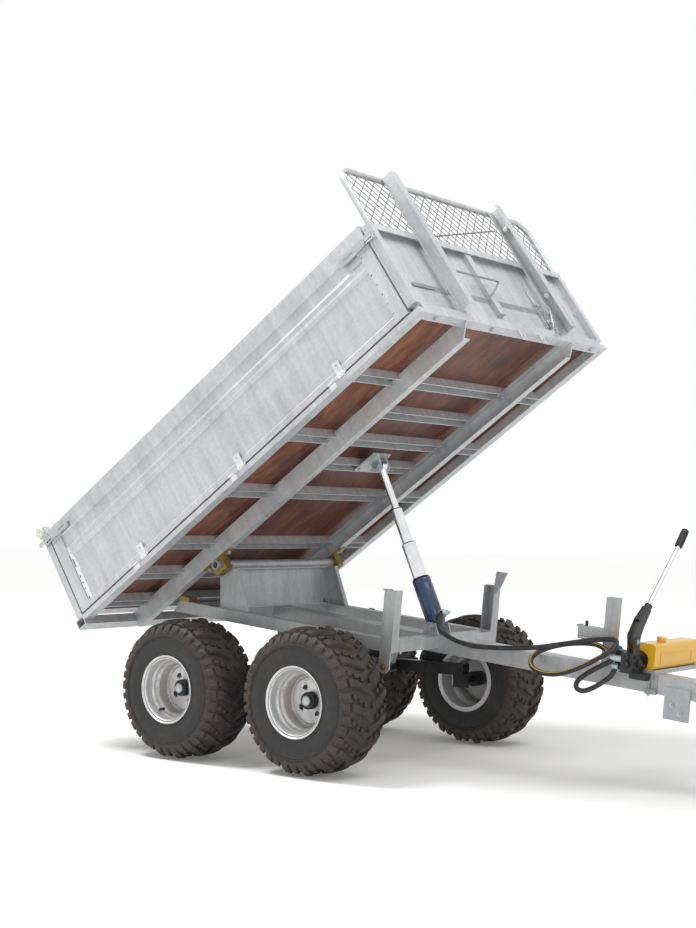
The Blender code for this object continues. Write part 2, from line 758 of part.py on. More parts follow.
def hinge_tower(parent):
    """Two flanged gussets and the plate between them that carry the hinge tube."""
    rear = HINGE_ALONG - TOWER_TOP_REAR
    top = HINGE_HEIGHT - HINGE_TUBE_RADIUS / 2
    base = RAIL_TOP + SEAT
    base_front = HINGE_ALONG + TOWER_BASE_FRONT
    top_front = HINGE_ALONG + TOWER_TOP_FRONT
    side_outline = [
        (HINGE_ALONG + TOWER_BASE_REAR, base),
        (base_front, base),
        (top_front, top),
        (rear, top),
    ]
    flange_outline = [
        (base_front - TOWER_SHEET, base + SEAT),
        (base_front + SEAT, base + SEAT),
        (top_front + SEAT, top - SEAT),
        (top_front - TOWER_SHEET, top - SEAT),
    ]
    shapes = [extruded(side_outline, TOWER_OUTSIDE - TOWER_SHEET, TOWER_OUTSIDE, "Y")]
    shapes.append(extruded(flange_outline, TOWER_OUTSIDE - TOWER_FLANGE, TOWER_OUTSIDE - SEAT, "Y"))
    shapes += [mirrored(shape) for shape in shapes]
    foot = HINGE_ALONG + TOWER_PLATE_FOOT
    head = HINGE_ALONG + TOWER_PLATE_TOP
    shapes.append(extruded(
        [(foot - TOWER_SHEET, base + SEAT), (foot, base + SEAT), (head + TOWER_SHEET, top - SEAT * 2), (head, top - SEAT * 2)],
        -TOWER_OUTSIDE + SEAT, TOWER_OUTSIDE - SEAT, "Y",
    ))
    shapes.append(bar(
        (HINGE_ALONG, -HINGE_TUBE_REACH, HINGE_HEIGHT), (HINGE_ALONG, HINGE_TUBE_REACH, HINGE_HEIGHT),
        HINGE_TUBE_RADIUS, 24,
    ))
    inner = HINGE_TUBE_RADIUS - HINGE_TUBE_WALL
    cuts = []
    for side in (-1, 1):
        cuts.append(bar(
            (HINGE_ALONG, side * (HINGE_TUBE_REACH + OVERRUN), HINGE_HEIGHT),
            (HINGE_ALONG, side * (HINGE_TUBE_REACH - OPEN_END_DEPTH), HINGE_HEIGHT),
            inner, 12,
        ))
    notch_side = TOWER_OUTSIDE - TOWER_FLANGE
    cuts.append(extruded(
        [
            (notch_side, base - OVERRUN), (notch_side, base + SEAT * 3),
            (notch_side - TOWER_NOTCH / 2, base + TOWER_NOTCH), (notch_side - TOWER_NOTCH, base + SEAT * 3),
            (notch_side - TOWER_NOTCH, base - OVERRUN),
        ],
        foot - TOWER_FLANGE, foot + OVERRUN, "X",
    ))
    return solid("hinge_tower", shapes, parent, GALVANISED, cuts)


def bump_pad(side, parent):
    name = "pad_right" if side < 0 else "pad_left"
    centre = side * (RAIL_OUTSIDE - RAIL_TUBE / 2)
    return solid(name, [block(
        (RAIL_REAR + SEAT, RAIL_REAR + PAD_SIDE),
        (centre - RAIL_TUBE / 2, centre + RAIL_TUBE / 2),
        (RAIL_TOP + SEAT, RAIL_TOP + SEAT + PAD_HEIGHT),
    )], parent, ZINC_YELLOW)


def walking_beam(side, parent):
    """A level beam on one side, with a drop plate and a stub axle at each end."""
    name = "beam_right" if side < 0 else "beam_left"
    low = AXLE_HEIGHT + BEAM_BASE_ABOVE_AXLE
    inside = BEAM_INSIDE
    outside = inside + BEAM_SECTION
    half = WHEEL_BASE / 2
    end_reach = half + BEAM_END_REACH
    shapes = [block((-end_reach, end_reach), (inside, outside), (low, low + BEAM_SECTION))]
    for end in (-half, half):
        shapes.append(block(
            (end - BEAM_END_REACH + SEAT, end + BEAM_END_REACH - SEAT),
            (outside - STUB_PLATE, outside - SEAT),
            (AXLE_HEIGHT - STUB_PLATE_DROP, low + BITE),
        ))
        shapes.append(bar(
            (end, outside - STUB_PLATE / 2, AXLE_HEIGHT), (end, TRACK / 2 + STUB_REACH, AXLE_HEIGHT), STUB_RADIUS, 16,
        ))
    cuts = []
    for end in (-1, 1):
        cuts.append(block(
            (end * (end_reach + OVERRUN), end * (end_reach - BEAM_END_REACH / 2)),
            (inside + TUBE_WALL, outside - TUBE_WALL),
            (low + TUBE_WALL, low + BEAM_SECTION - TUBE_WALL),
        ))
    if side < 0:
        shapes = [mirrored(shape) for shape in shapes]
        cuts = [mirrored(shape) for shape in cuts]
    return solid(name, shapes, parent, BLACK_STEEL, cuts)


def pivot_tube(parent):
    """The cross tube that the walking beams rock on."""
    height = RAIL_TOP - RAIL_TUBE - PIVOT_TUBE_BELOW_RAIL
    reach = BEAM_INSIDE - SEAT * 2
    return solid("beam_pivot", [bar(
        (0, -reach, height), (0, reach, height), PIVOT_TUBE_RADIUS - SEAT, 20,
    )], parent, BLACK_STEEL)


# Wheels

def tyre_shape():
    """Swept tread bars in two staggered halves, ribbed into the sidewalls, down to the beads."""
    pitch = math.tau / TREAD_PITCHES
    bead = (RIM_SEAT_RADIUS + SEAT) / math.cos(pitch / 4)
    section = TYRE_DIAMETER / 2 - bead
    half = TYRE_WIDTH / 2
    flange_share = (RIM_FLANGE_RADIUS + SEAT - bead) / section
    corners = []

    def ring(side, stagger, flat_shares, raised_shares, sweep_share, rows):
        places = []
        for count in range(TREAD_PITCHES):
            for row in rows:
                raised = TREAD_ROW_RAISED[(row + stagger) % len(TREAD_ROW_SHARES)]
                width_share, height_share = raised_shares if raised else flat_shares
                place_share = count + TREAD_ROW_SHARES[row] + sweep_share - STANDING_SHARE
                turn = place_share * pitch - math.pi / 2
                radius = bead + section * height_share
                corners.append((radius * math.cos(turn), side * half * width_share, radius * math.sin(turn)))
                places.append(len(corners) - 1)
        return places

    all_rows = range(len(TREAD_ROW_SHARES))
    some_rows = (0, 2)
    crown = ring(1, 0, *TREAD_RING_SHARES[0], all_rows)
    faces = []
    bores = []
    for side, stagger in ((1, 0), (-1, 2)):
        rings = [crown]
        for flat_shares, raised_shares, sweep_share in TREAD_RING_SHARES[1:]:
            rings.append(ring(side, stagger, flat_shares, raised_shares, sweep_share, all_rows))
        for shares in (SIDEWALL_SHARES, (BEAD_SHARE, flange_share), (BEAD_SHARE, 0.0)):
            rings.append(ring(side, 0, shares, shares, 0, some_rows))
        for near, far in zip(rings, rings[1:]):
            step = len(near) // len(far)
            for i in range(len(far)):
                j = (i + 1) % len(far)
                edge = [near[(i * step + k) % len(near)] for k in range(step + 1)]
                faces.append(tuple(edge + [far[j], far[i]]))
        bores.append(rings[-1])
    for i in range(len(bores[0])):
        j = (i + 1) % len(bores[0])
        faces.append((bores[0][i], bores[0][j], bores[1][j], bores[1][i]))
    return corners, faces


def rim_profile():
    """The rim's section: two flanges, bead seats, the deep well, the stepped disc, hub and cap."""
    edge = TYRE_WIDTH / 2 * BEAD_SHARE + SEAT * 2
    lip = edge + RIM_SHEET
    inside = RIM_SEAT_RADIUS - RIM_WALL
    step = RIM_WELL_RADIUS - RIM_SHEET
    shoulder_front = RIM_WELL_FRONT + RIM_WELL_SLOPE
    shoulder_rear = RIM_WELL_REAR + RIM_WELL_SLOPE
    disc = RIM_DISC_OFFSET
    face = disc + RIM_SHEET
    bore = STUB_RADIUS + PIN_PLAY
    cap_inside = STUB_REACH + RIM_SHEET
    return [
        (RIM_FLANGE_RADIUS, -lip), (RIM_FLANGE_RADIUS, -edge), (RIM_SEAT_RADIUS, -edge),
        (RIM_SEAT_RADIUS, -shoulder_rear), (RIM_WELL_RADIUS, -RIM_WELL_REAR),
        (RIM_WELL_RADIUS, RIM_WELL_FRONT), (RIM_SEAT_RADIUS, shoulder_front),
        (RIM_SEAT_RADIUS, edge), (RIM_FLANGE_RADIUS, edge), (RIM_FLANGE_RADIUS, lip), (inside, lip),
        (inside, shoulder_front), (step, RIM_WELL_FRONT), (step, face),
        (RIM_RING_RADIUS, face + RIM_RING_RISE), (HUB_RADIUS, face + RIM_RING_RISE / 2),
        (HUB_RADIUS, HUB_FACE), (HUB_CAP_RADIUS, HUB_FACE), (HUB_CAP_RADIUS, HUB_CAP_REACH - RIM_SHEET),
        (0, HUB_CAP_REACH), (0, cap_inside), (bore, cap_inside), (bore, -HUB_REAR),
        (HUB_RADIUS, -HUB_REAR), (HUB_RADIUS, disc), (step, disc), (step, -RIM_WELL_REAR),
        (inside, -shoulder_rear), (inside, -lip),
    ]


def wheel(name, along, side, parent):
    hub = axes(name + "_axis", (along, side * TRACK / 2, AXLE_HEIGHT), 0, parent)
    solid(name + "_tyre", [tyre_shape()], hub, RUBBER)
    outer = Vector((0, side, 0))
    holes = []
    for count in range(STUD_HOLES):
        turn = math.tau * (count + 0.5) / STUD_HOLES
        centre = Vector((STUD_CIRCLE * math.cos(turn), 0, STUD_CIRCLE * math.sin(turn)))
        holes.append(bar(centre - outer * OVERRUN, centre + outer * HUB_FACE, STUD_HOLE_RADIUS, 8))
    solid(name + "_rim", [turned(rim_profile(), (0, 0, 0), outer, RIM_STEPS)], hub, SILVER, holes)
    return hub


# Load bed

def bed_x(place):
    """A place along the bed, from its rear edge."""
    return place - BED_BEHIND_HINGE


def bed_z(height):
    """A height in the bed, from the underside of its rails."""
    return height + BED_ABOVE_HINGE


def channel_down(middle, width, depth, sheet, top):
    """The outline of a channel that is open below, in X and Z."""
    rear, front = middle - width / 2, middle + width / 2
    return [
        (rear, top - depth), (rear, top), (front, top), (front, top - depth),
        (front - sheet, top - depth), (front - sheet, top - sheet),
        (rear + sheet, top - sheet), (rear + sheet, top - depth),
    ]


def bed_frame(parent):
    """Side rails, sills, long channels and cross bearers, welded into one frame."""
    half = BED_WIDTH / 2
    low = bed_z(0)
    sill_rear, sill_front = bed_x(-REAR_SILL_BEHIND), bed_x(REAR_SILL_FRONT)
    front = bed_x(BED_LENGTH)
    rail_inner = half - SIDE_RAIL_WIDTH
    rail_outline = [
        (half, low), (half, low + SIDE_RAIL_HEIGHT),
        (rail_inner + SIDE_RAIL_WALL, low + SIDE_RAIL_HEIGHT),
        (rail_inner + SIDE_RAIL_WALL, low + BEARER_DEPTH),
        (rail_inner, low + BEARER_DEPTH), (rail_inner, low),
    ]
    rail = extruded(rail_outline, sill_front - BITE, front, "X")
    shapes = [rail, mirrored(rail)]
    reach = half - SIDE_THICKNESS - RUNNING_GAP
    shapes.append(block((front - SILL_WIDTH, front - SEAT), (-reach, reach), (low + SEAT, low + SILL_HEIGHT - SEAT)))
    shapes.append(block((sill_rear, sill_front), (-half + SEAT, half - SEAT), (bed_z(REAR_SILL_BASE), bed_z(REAR_SILL_TOP))))
    bearer_reach = rail_inner + BITE
    inner_reach = SPINE_OUTSIDE - SPINE_WIDTH + BITE
    places = [(place, bearer_reach) for place in BEARER_PLACES]
    places += [(place, inner_reach) for place in (LIFT_BEARER_PLACE, INNER_BEARER_PLACE)]
    for place, reach in places:
        outline = channel_down(bed_x(place), BEARER_WIDTH, BEARER_DEPTH - SEAT, BEARER_SHEET, low + BEARER_DEPTH - SEAT)
        shapes.append(extruded(outline, -reach, reach, "Y"))
    spine_inside = SPINE_OUTSIDE - SPINE_WIDTH
    spine_top, spine_base = low + BEARER_DEPTH / 2, low - SPINE_DEPTH
    spine_outline = [
        (SPINE_OUTSIDE, spine_base), (SPINE_OUTSIDE, spine_top), (spine_inside, spine_top),
        (spine_inside, spine_top - SPINE_SHEET), (SPINE_OUTSIDE - SPINE_SHEET, spine_top - SPINE_SHEET),
        (SPINE_OUTSIDE - SPINE_SHEET, spine_base + SPINE_SHEET), (spine_inside, spine_base + SPINE_SHEET),
        (spine_inside, spine_base),
    ]
    spine = extruded(spine_outline, sill_front - BITE * 2, front - SEAT * 2, "X")
    shapes += [spine, mirrored(spine)]
    for place in LUG_PAIR_PLACES:
        shapes.append(block(
            (front - BEARER_SHEET, front - SEAT * 2), (place, place + LUG_PAIR_SIDE), (low - LUG_PAIR_SIDE, low + BITE),
        ))
    cuts = [block(
        (sill_rear + TUBE_WALL, sill_front - TUBE_WALL), (-half - OVERRUN, half + OVERRUN),
        (bed_z(REAR_SILL_BASE) + TUBE_WALL, bed_z(REAR_SILL_TOP) - TUBE_WALL),
    )]
    cuts.append(extruded(
        [(front, low - SEAT), (front, spine_base - OVERRUN), (front - SPINE_NOSE - OVERRUN, spine_base - OVERRUN), (front - SPINE_NOSE, spine_base)],
        spine_inside - OVERRUN, SPINE_OUTSIDE + OVERRUN, "Y",
    ))
    cuts.append(mirrored(cuts[-1]))
    for place in LUG_PAIR_PLACES:
        middle = place + LUG_PAIR_SIDE / 2
        cuts.append(bar(
            (front - OVERRUN * 2, middle, low - LUG_PAIR_SIDE / 2), (front + OVERRUN, middle, low - LUG_PAIR_SIDE / 2),
            LUG_PAIR_SIDE / 6, 8,
        ))
    return solid("bed_frame", shapes, parent, GALVANISED, cuts)


def bed_floor(parent):
    half = BED_WIDTH / 2 - FLOOR_INSET
    low = bed_z(BEARER_DEPTH) + SEAT
    return solid("bed_floor", [block(
        (bed_x(FLOOR_INSET), bed_x(BED_LENGTH) - SILL_WIDTH - SEAT), (-half, half), (low, low + FLOOR_THICKNESS),
    )], parent, WOOD)


def headboard(parent):
    """A panel set back behind a top rail, with corner posts and two tall uprights."""
    front = bed_x(BED_LENGTH)
    back = front - HEADBOARD_RAIL
    half = BED_WIDTH / 2
    low = bed_z(SILL_HEIGHT) + SEAT
    top = bed_z(HEADBOARD_TOP)
    face = back + PANEL_THICKNESS
    shapes = [
        block((back, face), (-half, half), (low, top)),
        block((back + SEAT, front), (-half + SEAT, half - SEAT), (top - HEADBOARD_RAIL_SHEET, top - SEAT)),
        block((front - HEADBOARD_RAIL_SHEET, front - SEAT), (-half + SEAT, half - SEAT), (top - HEADBOARD_RAIL_LIP, top - BITE)),
        block((face - SEAT, face + BAND_RISE), (BAND_FROM, BAND_TO), (bed_z(BAND_HEIGHT), bed_z(BAND_HEIGHT) + BAND_WIDTH)),
        block(
            (face - SEAT, front - HEADBOARD_RAIL_SHEET * 2), (CENTRE_UPRIGHT - UPRIGHT_WIDTH / 2, CENTRE_UPRIGHT + UPRIGHT_WIDTH / 2),
            (low + SILL_HEIGHT, top - BITE),
        ),
    ]
    for side in (-1, 1):
        shapes.append(block(
            (front - CORNER_POST, front - SEAT), (side * half, side * (half - CORNER_POST)), (low + SEAT, top - SEAT * 2),
        ))
    upright_low = low + SEAT * 2
    inside = SPINE_OUTSIDE - UPRIGHT_WIDTH
    channel = extruded(
        [
            (front - BITE, inside), (front - BITE, SPINE_OUTSIDE), (front + UPRIGHT_DEPTH, SPINE_OUTSIDE),
            (front + UPRIGHT_DEPTH, inside), (front + UPRIGHT_DEPTH - UPRIGHT_SHEET, inside),
            (front + UPRIGHT_DEPTH - UPRIGHT_SHEET, SPINE_OUTSIDE - UPRIGHT_SHEET),
            (front - BITE + UPRIGHT_SHEET, SPINE_OUTSIDE - UPRIGHT_SHEET), (front - BITE + UPRIGHT_SHEET, inside),
        ],
        upright_low, bed_z(UPRIGHT_TOP), "Z",
    )
    shapes += [channel, mirrored(channel)]
    return solid("headboard", shapes, parent, GALVANISED)


def headboard_latch(parent):
    """The zinc lever plate and rod on the front of the headboard, beside the far upright."""
    front = bed_x(BED_LENGTH)
    low = bed_z(SILL_HEIGHT) + SEAT
    face = front - HEADBOARD_RAIL + PANEL_THICKNESS + SEAT
    half = LATCH_WIDTH / 2
    plate = block((face, face + LATCH_SHEET), (LATCH_ALONG - half, LATCH_ALONG + half), (low + SEAT, bed_z(LATCH_TOP)))
    rod = bar(
        (face + LATCH_SHEET, LATCH_ALONG, low + LATCH_WIDTH), (face + LATCH_SHEET, LATCH_ALONG, bed_z(LATCH_TOP) + LATCH_WIDTH * 2),
        LATCH_ROD / 2, 8,
    )
    keeper = block(
        (face, face + LATCH_SHEET * 2), (LATCH_ALONG - half / 2, LATCH_ALONG + half / 2),
        (bed_z(LATCH_TOP) - LATCH_SHEET, bed_z(LATCH_TOP) + LATCH_SHEET),
    )
    return solid("headboard_latch", [plate, keeper, rod], parent, BRIGHT_ZINC)


def guard_plane():
    return bed_x(BED_LENGTH) - BITE - SEAT - MESH_TUBE_RADIUS


def corner_arc(across, up, radius):
    """Points of a quarter circle from the outside of a corner to its top."""
    points = []
    for i in range(MESH_CORNER_STEPS + 1):
        turn = math.pi / 2 * i / MESH_CORNER_STEPS
        points.append((across - radius + radius * math.cos(turn), up - radius + radius * math.sin(turn)))
    return points


def mesh_frame(parent):
    """The round tube bow above the headboard."""
    half = BED_WIDTH / 2 - MESH_TUBE_RADIUS * 2
    low = bed_z(HEADBOARD_TOP) + SEAT
    arc = corner_arc(half, bed_z(MESH_TOP) - MESH_TUBE_RADIUS, MESH_CORNER_RADIUS)
    path = [(half, low)] + arc + [(-y, z) for y, z in reversed(arc)] + [(-half, low)]
    return solid("mesh_frame", [pipe([(guard_plane(), y, z) for y, z in path], MESH_TUBE_RADIUS)], parent, GALVANISED)


def clipped(polygon, fence):
    """The part of a convex polygon inside a convex fence that runs anticlockwise."""
    for (ax, ay), (bx, by) in zip(fence, fence[1:] + fence[:1]):
        def inside(point):
            return (bx - ax) * (point[1] - ay) - (by - ay) * (point[0] - ax)

        kept = []
        for start, end in zip(polygon, polygon[1:] + polygon[:1]):
            here, there = inside(start), inside(end)
            if here >= 0:
                kept.append(start)
            if here * there < 0:
                share = here / (here - there)
                kept.append((start[0] + (end[0] - start[0]) * share, start[1] + (end[1] - start[1]) * share))
        polygon = kept
        if len(polygon) < 3:
            return []
    return polygon


def bow_inside(inset):
    """The opening of the tube bow, less an inset, anticlockwise in Y and Z."""
    edge = MESH_TUBE_RADIUS + inset
    half = BED_WIDTH / 2 - MESH_TUBE_RADIUS * 2 - edge
    top = bed_z(MESH_TOP) - MESH_TUBE_RADIUS - edge
    arc = corner_arc(half, top, MESH_CORNER_RADIUS - edge)
    low = bed_z(HEADBOARD_TOP) + inset
    return [(-half, low), (half, low)] + arc + [(-y, z) for y, z in reversed(arc)]


def guard_mesh(parent):
    """The diamond mesh in the bow: a plate with rows of diamonds cut out of it."""
    plane = guard_plane()
    plate = extruded(bow_inside(SEAT), plane - MESH_THICKNESS / 2, plane + MESH_THICKNESS / 2, "X")
    fence = bow_inside(MESH_BORDER)
    across, tall = MESH_CELL_LONG / 2 - MESH_STRAND, MESH_CELL_TALL / 2 - MESH_STRAND
    base = bed_z(HEADBOARD_TOP)
    smallest = MESH_STRAND * MESH_STRAND
    cuts = []
    columns = math.ceil(BED_WIDTH / MESH_CELL_LONG)
    rows = math.ceil((MESH_TOP - HEADBOARD_TOP) / MESH_CELL_TALL) * 2
    for row in range(rows + 1):
        shift = MESH_CELL_LONG / 2 * (row % 2)
        for column in range(-columns, columns + 1):
            y, z = column * MESH_CELL_LONG + shift, base + row * MESH_CELL_TALL / 2
            diamond = clipped([(y - across, z), (y, z - tall), (y + across, z), (y, z + tall)], fence)
            if len(diamond) > 2 and polygon_area(diamond) > smallest:
                cuts.append(extruded(diamond, plane - MESH_THICKNESS, plane + MESH_THICKNESS, "X"))
    return solid("guard_mesh", [plate], parent, GALVANISED, cuts)


def polygon_area(polygon):
    total = 0
    for (ax, ay), (bx, by) in zip(polygon, polygon[1:] + polygon[:1]):
        total += ax * by - bx * ay
    return abs(total) / 2


def drop_side(side, parent):
    """A folded sheet side that hangs on three knuckles at its lower edge, with its two latches."""
    name = "side_right" if side < 0 else "side_left"
    half = BED_WIDTH / 2
    hinge = axes(name + "_axis", (0, side * half, bed_z(SIDE_BOTTOM)), 0, parent)
    rear = bed_x(CORNER_POST + SIDE_GAP)
    front = bed_x(BED_LENGTH - HEADBOARD_RAIL - SIDE_GAP)
    inside = -SIDE_THICKNESS
    recess = -SIDE_RECESS
    rise = SIDE_TOP - SIDE_BOTTOM
    ridge = SIDE_RIDGE - SIDE_BOTTOM
    fold = SIDE_FOLD - SIDE_BOTTOM
    rail = SIDE_RAIL_UNDER - SIDE_BOTTOM
    sheet = [
        (inside, SEAT), (0, SEAT), (0, SIDE_HEM), (recess, SIDE_HEM - recess),
        (recess / 2, fold), (recess, ridge - SIDE_RIDGE_HALF * 2), (0, ridge - SIDE_RIDGE_HALF),
        (recess / 2, ridge), (0, ridge + SIDE_RIDGE_HALF), (recess, ridge + SIDE_RIDGE_HALF * 2),
        (recess, rail + recess), (0, rail), (0, rise), (inside, rise),
    ]
    ends = [(inside + SEAT, SEAT * 2), (-SEAT, SEAT * 2), (-SEAT, rise - SEAT), (inside + SEAT, rise - SEAT)]
    shapes = [
        extruded(sheet, rear + BITE, front - BITE, "X"),
        extruded(ends, rear, rear + SIDE_END, "X"),
        extruded(ends, front - SIDE_END, front, "X"),
    ]
    for place in KNUCKLE_PLACES:
        middle = bed_x(place)
        shapes.append(bar((middle - KNUCKLE_LENGTH / 2, 0, 0), (middle + KNUCKLE_LENGTH / 2, 0, 0), KNUCKLE_RADIUS, 12))
    for (latch_rear, latch_front), height, seat_end in (
        (FRONT_LATCH, FRONT_LATCH_HEIGHT, 0), (REAR_LATCH, REAR_LATCH_HEIGHT, 1),
    ):
        z = height - SIDE_BOTTOM
        band = (z - SIDE_LATCH_WIDTH / 2, z + SIDE_LATCH_WIDTH / 2)
        shapes.append(block((bed_x(latch_rear), bed_x(latch_front)), (SEAT, SIDE_LATCH_DEPTH), band))
        inner_end = latch_front if seat_end else latch_rear
        other_end = inner_end - SIDE_LATCH_SEAT if seat_end else inner_end + SIDE_LATCH_SEAT
        shapes.append(block((bed_x(inner_end), bed_x(other_end)), (recess, SIDE_LATCH_DEPTH + SEAT), band))
    if side < 0:
        shapes = [mirrored(shape) for shape in shapes]
    solid(name, shapes, hinge, GALVANISED)
    return hinge


def tailgate(parent):
    """The rear gate, hung from a pin in an ear at each upper corner."""
    hinge = axes("tailgate_axis", (bed_x(0), 0, bed_z(GATE_PIVOT_HEIGHT)), 0, parent)
    post_inside = BED_WIDTH / 2 - CORNER_POST
    half = post_inside - SIDE_GAP
    low = GATE_BOTTOM - GATE_PIVOT_HEIGHT
    high = HEADBOARD_TOP - GATE_PIVOT_HEIGHT
    thick = GATE_THICKNESS / 2
    shapes = [block((-thick, thick), (-half, half), (low, high))]
    for side in (-1, 1):
        shapes.append(block(
            (-thick + SEAT, thick - SEAT), (side * (half - SEAT), side * (half - GATE_EAR)), (high - GATE_EAR, GATE_EAR_TOP),
        ))
        shapes.append(bar((0, side * (half - GATE_EAR / 2), 0), (0, side * (post_inside + CORNER_POST / 2), 0), GATE_PIVOT_RADIUS, 12))
    solid("tailgate", shapes, hinge, GALVANISED)
    return hinge


def rear_posts(parent):
    """A corner post on each side of the tailgate, with the housing of its pivot on top."""
    half = BED_WIDTH / 2
    rear = bed_x(0)
    pivot = bed_z(GATE_PIVOT_HEIGHT)
    for side in (-1, 1):
        name = "rear_post_right" if side < 0 else "rear_post_left"
        across = (side * half, side * (half - CORNER_POST))
        inner_across = (side * (half - SEAT), side * (half - CORNER_POST + SEAT))
        solid(
            name,
            [
                block((rear, rear + CORNER_POST), across, (bed_z(REAR_SILL_TOP) + SEAT, pivot)),
                block((rear - PIVOT_HOUSING, rear + CORNER_POST - SEAT), inner_across, (pivot - PIVOT_HOUSING, pivot + PIVOT_HOUSING)),
            ],
            parent, GALVANISED,
            [bar(
                (rear, side * (half - CORNER_POST - OVERRUN), pivot), (rear, side * (half - CORNER_POST / 2 + BITE), pivot),
                GATE_PIVOT_RADIUS + PIN_PLAY, 16,
            )],
        )


def hinge_bracket(side, parent):
    """The yellow bracket bolted under a long channel, round the hinge tube."""
    name = "hinge_bracket_right" if side < 0 else "hinge_bracket_left"
    across = (side * SPINE_OUTSIDE, side * (SPINE_OUTSIDE - SPINE_WIDTH))
    inner_across = (side * (SPINE_OUTSIDE - SEAT), side * (SPINE_OUTSIDE - SPINE_WIDTH + SEAT))
    top = bed_z(-SPINE_DEPTH) - SEAT
    plate, saddle = BRACKET_PLATE / 2, BRACKET_SADDLE / 2
    return solid(
        name,
        [
            block((-plate, plate), across, (top - BRACKET_THICKNESS, top)),
            block((-saddle, saddle), inner_across, (-BRACKET_BELOW, top - BRACKET_THICKNESS / 2)),
        ],
        parent, ZINC_YELLOW,
        [bar((0, side * SPINE_OUTSIDE * 2, 0), (0, 0, 0), HINGE_TUBE_RADIUS + PIN_PLAY, 24)],
    )


# Lift cylinder

def lift(parent):
    """Three chrome stages out of a blue barrel, from the drawbar to the bed."""
    foot = Vector((LIFT_FOOT_ALONG, 0, LIFT_FOOT_HEIGHT))
    eye_bed = Vector((bed_x(LIFT_EYE_ALONG_BED), 0, bed_z(LIFT_EYE_HEIGHT_BED)))
    hinge = Vector((HINGE_ALONG, 0, HINGE_HEIGHT))
    along = hinge + Matrix.Rotation(-TIP_ANGLE, 3, "Y") @ eye_bed - foot
    reach = along.length
    lean = math.atan2(along.x, along.z)
    root = axes("lift_axis", foot, lean, parent)
    up = (0, 0, 1)
    large_bore = STAGE_LARGE_RADIUS + PIN_PLAY
    small_bore = STAGE_SMALL_RADIUS + PIN_PLAY
    rod_bore = ROD_RADIUS + PIN_PLAY
    pin_reach = BARREL_RADIUS + OVERRUN
    solid("lift_barrel", [turned([
        (0, -BARREL_FOOT), (BARREL_RADIUS * BARREL_FOOT_SHARE, -BARREL_FOOT), (BARREL_RADIUS, BARREL_FLOOR),
        (BARREL_RADIUS, BARREL_LENGTH), (large_bore, BARREL_LENGTH), (large_bore, BARREL_FLOOR), (0, BARREL_FLOOR),
    ], (0, 0, 0), up, LIFT_STEPS)], root, BLUE_STEEL, [
        bar((0, -pin_reach, 0), (0, pin_reach, 0), LIFT_PIN_RADIUS + PIN_PLAY, 12),
    ])
    stage_ends = [BARREL_LENGTH + STAGE_TRAVEL, BARREL_LENGTH + STAGE_TRAVEL * 2]
    stage_starts = [STAGE_HOLD + STAGE_HOLD_STEP * i + STAGE_TRAVEL * (i + 1) for i in range(3)]
    for name, bore, radius, start, end in (
        ("lift_stage_large", small_bore, STAGE_LARGE_RADIUS, stage_starts[0], stage_ends[0]),
        ("lift_stage_small", rod_bore, STAGE_SMALL_RADIUS, stage_starts[1], stage_ends[1]),
    ):
        profile = [(bore, start), (radius, start), (radius, end), (bore, end)]
        solid(name, [turned(profile, (0, 0, 0), up, LIFT_STEPS)], root, CHROME)
    eye_half = ROD_EYE_WIDTH / 2
    solid("lift_rod", [
        bar((0, 0, stage_starts[2]), (0, 0, reach - ROD_EYE_RADIUS / 2), ROD_RADIUS, LIFT_STEPS),
        bar((0, -eye_half, reach), (0, eye_half, reach), ROD_EYE_RADIUS, LIFT_STEPS),
    ], root, CHROME, [
        bar((0, -ROD_EYE_WIDTH, reach), (0, ROD_EYE_WIDTH, reach), ROD_PIN_RADIUS, 16),
    ])
    start = (BARREL_RADIUS + SEAT, 0, PORT_HEIGHT)
    corner = (PORT_OUT, 0, PORT_HEIGHT)
    end = (PORT_OUT, -PORT_REACH, PORT_HEIGHT)
    solid("lift_port", [
        pipe([start, corner, end], PORT_RADIUS, 8),
        bar((BARREL_RADIUS + SEAT * 2, 0, PORT_HEIGHT), (BARREL_RADIUS + PORT_NUT, 0, PORT_HEIGHT), PORT_NUT_RADIUS, 6),
        bar((PORT_OUT, -PORT_REACH + PORT_NUT, PORT_HEIGHT), (PORT_OUT, -PORT_REACH + SEAT, PORT_HEIGHT), PORT_NUT_RADIUS, 6),
    ], root, BRIGHT_ZINC)
    return root


def lift_clevis(parent):
    """Two cheeks under the lift bearer, on either side of the rod's eye."""
    x, z = bed_x(LIFT_EYE_ALONG_BED), bed_z(LIFT_EYE_HEIGHT_BED)
    top = bed_z(0) - SEAT
    wide = CLEVIS_PLATE_WIDTH / 2
    shapes = [block((x - CLEVIS_PLATE_REAR, x + CLEVIS_PLATE_FRONT), (-wide, wide), (top - CLEVIS_PLATE, top))]
    near = ROD_EYE_WIDTH / 2 + RUNNING_GAP
    half = CLEVIS_LENGTH / 2
    for side in (-1, 1):
        shapes.append(extruded(
            [(x - half, top - CLEVIS_PLATE / 2), (x - half / 2, z - ROD_EYE_RADIUS), (x + half / 2, z - ROD_EYE_RADIUS),
             (x + half, top - CLEVIS_PLATE / 2)],
            min(side * near, side * (near + CLEVIS_CHEEK)), max(side * near, side * (near + CLEVIS_CHEEK)), "Y",
        ))
    return solid("lift_clevis", shapes, parent, GALVANISED)


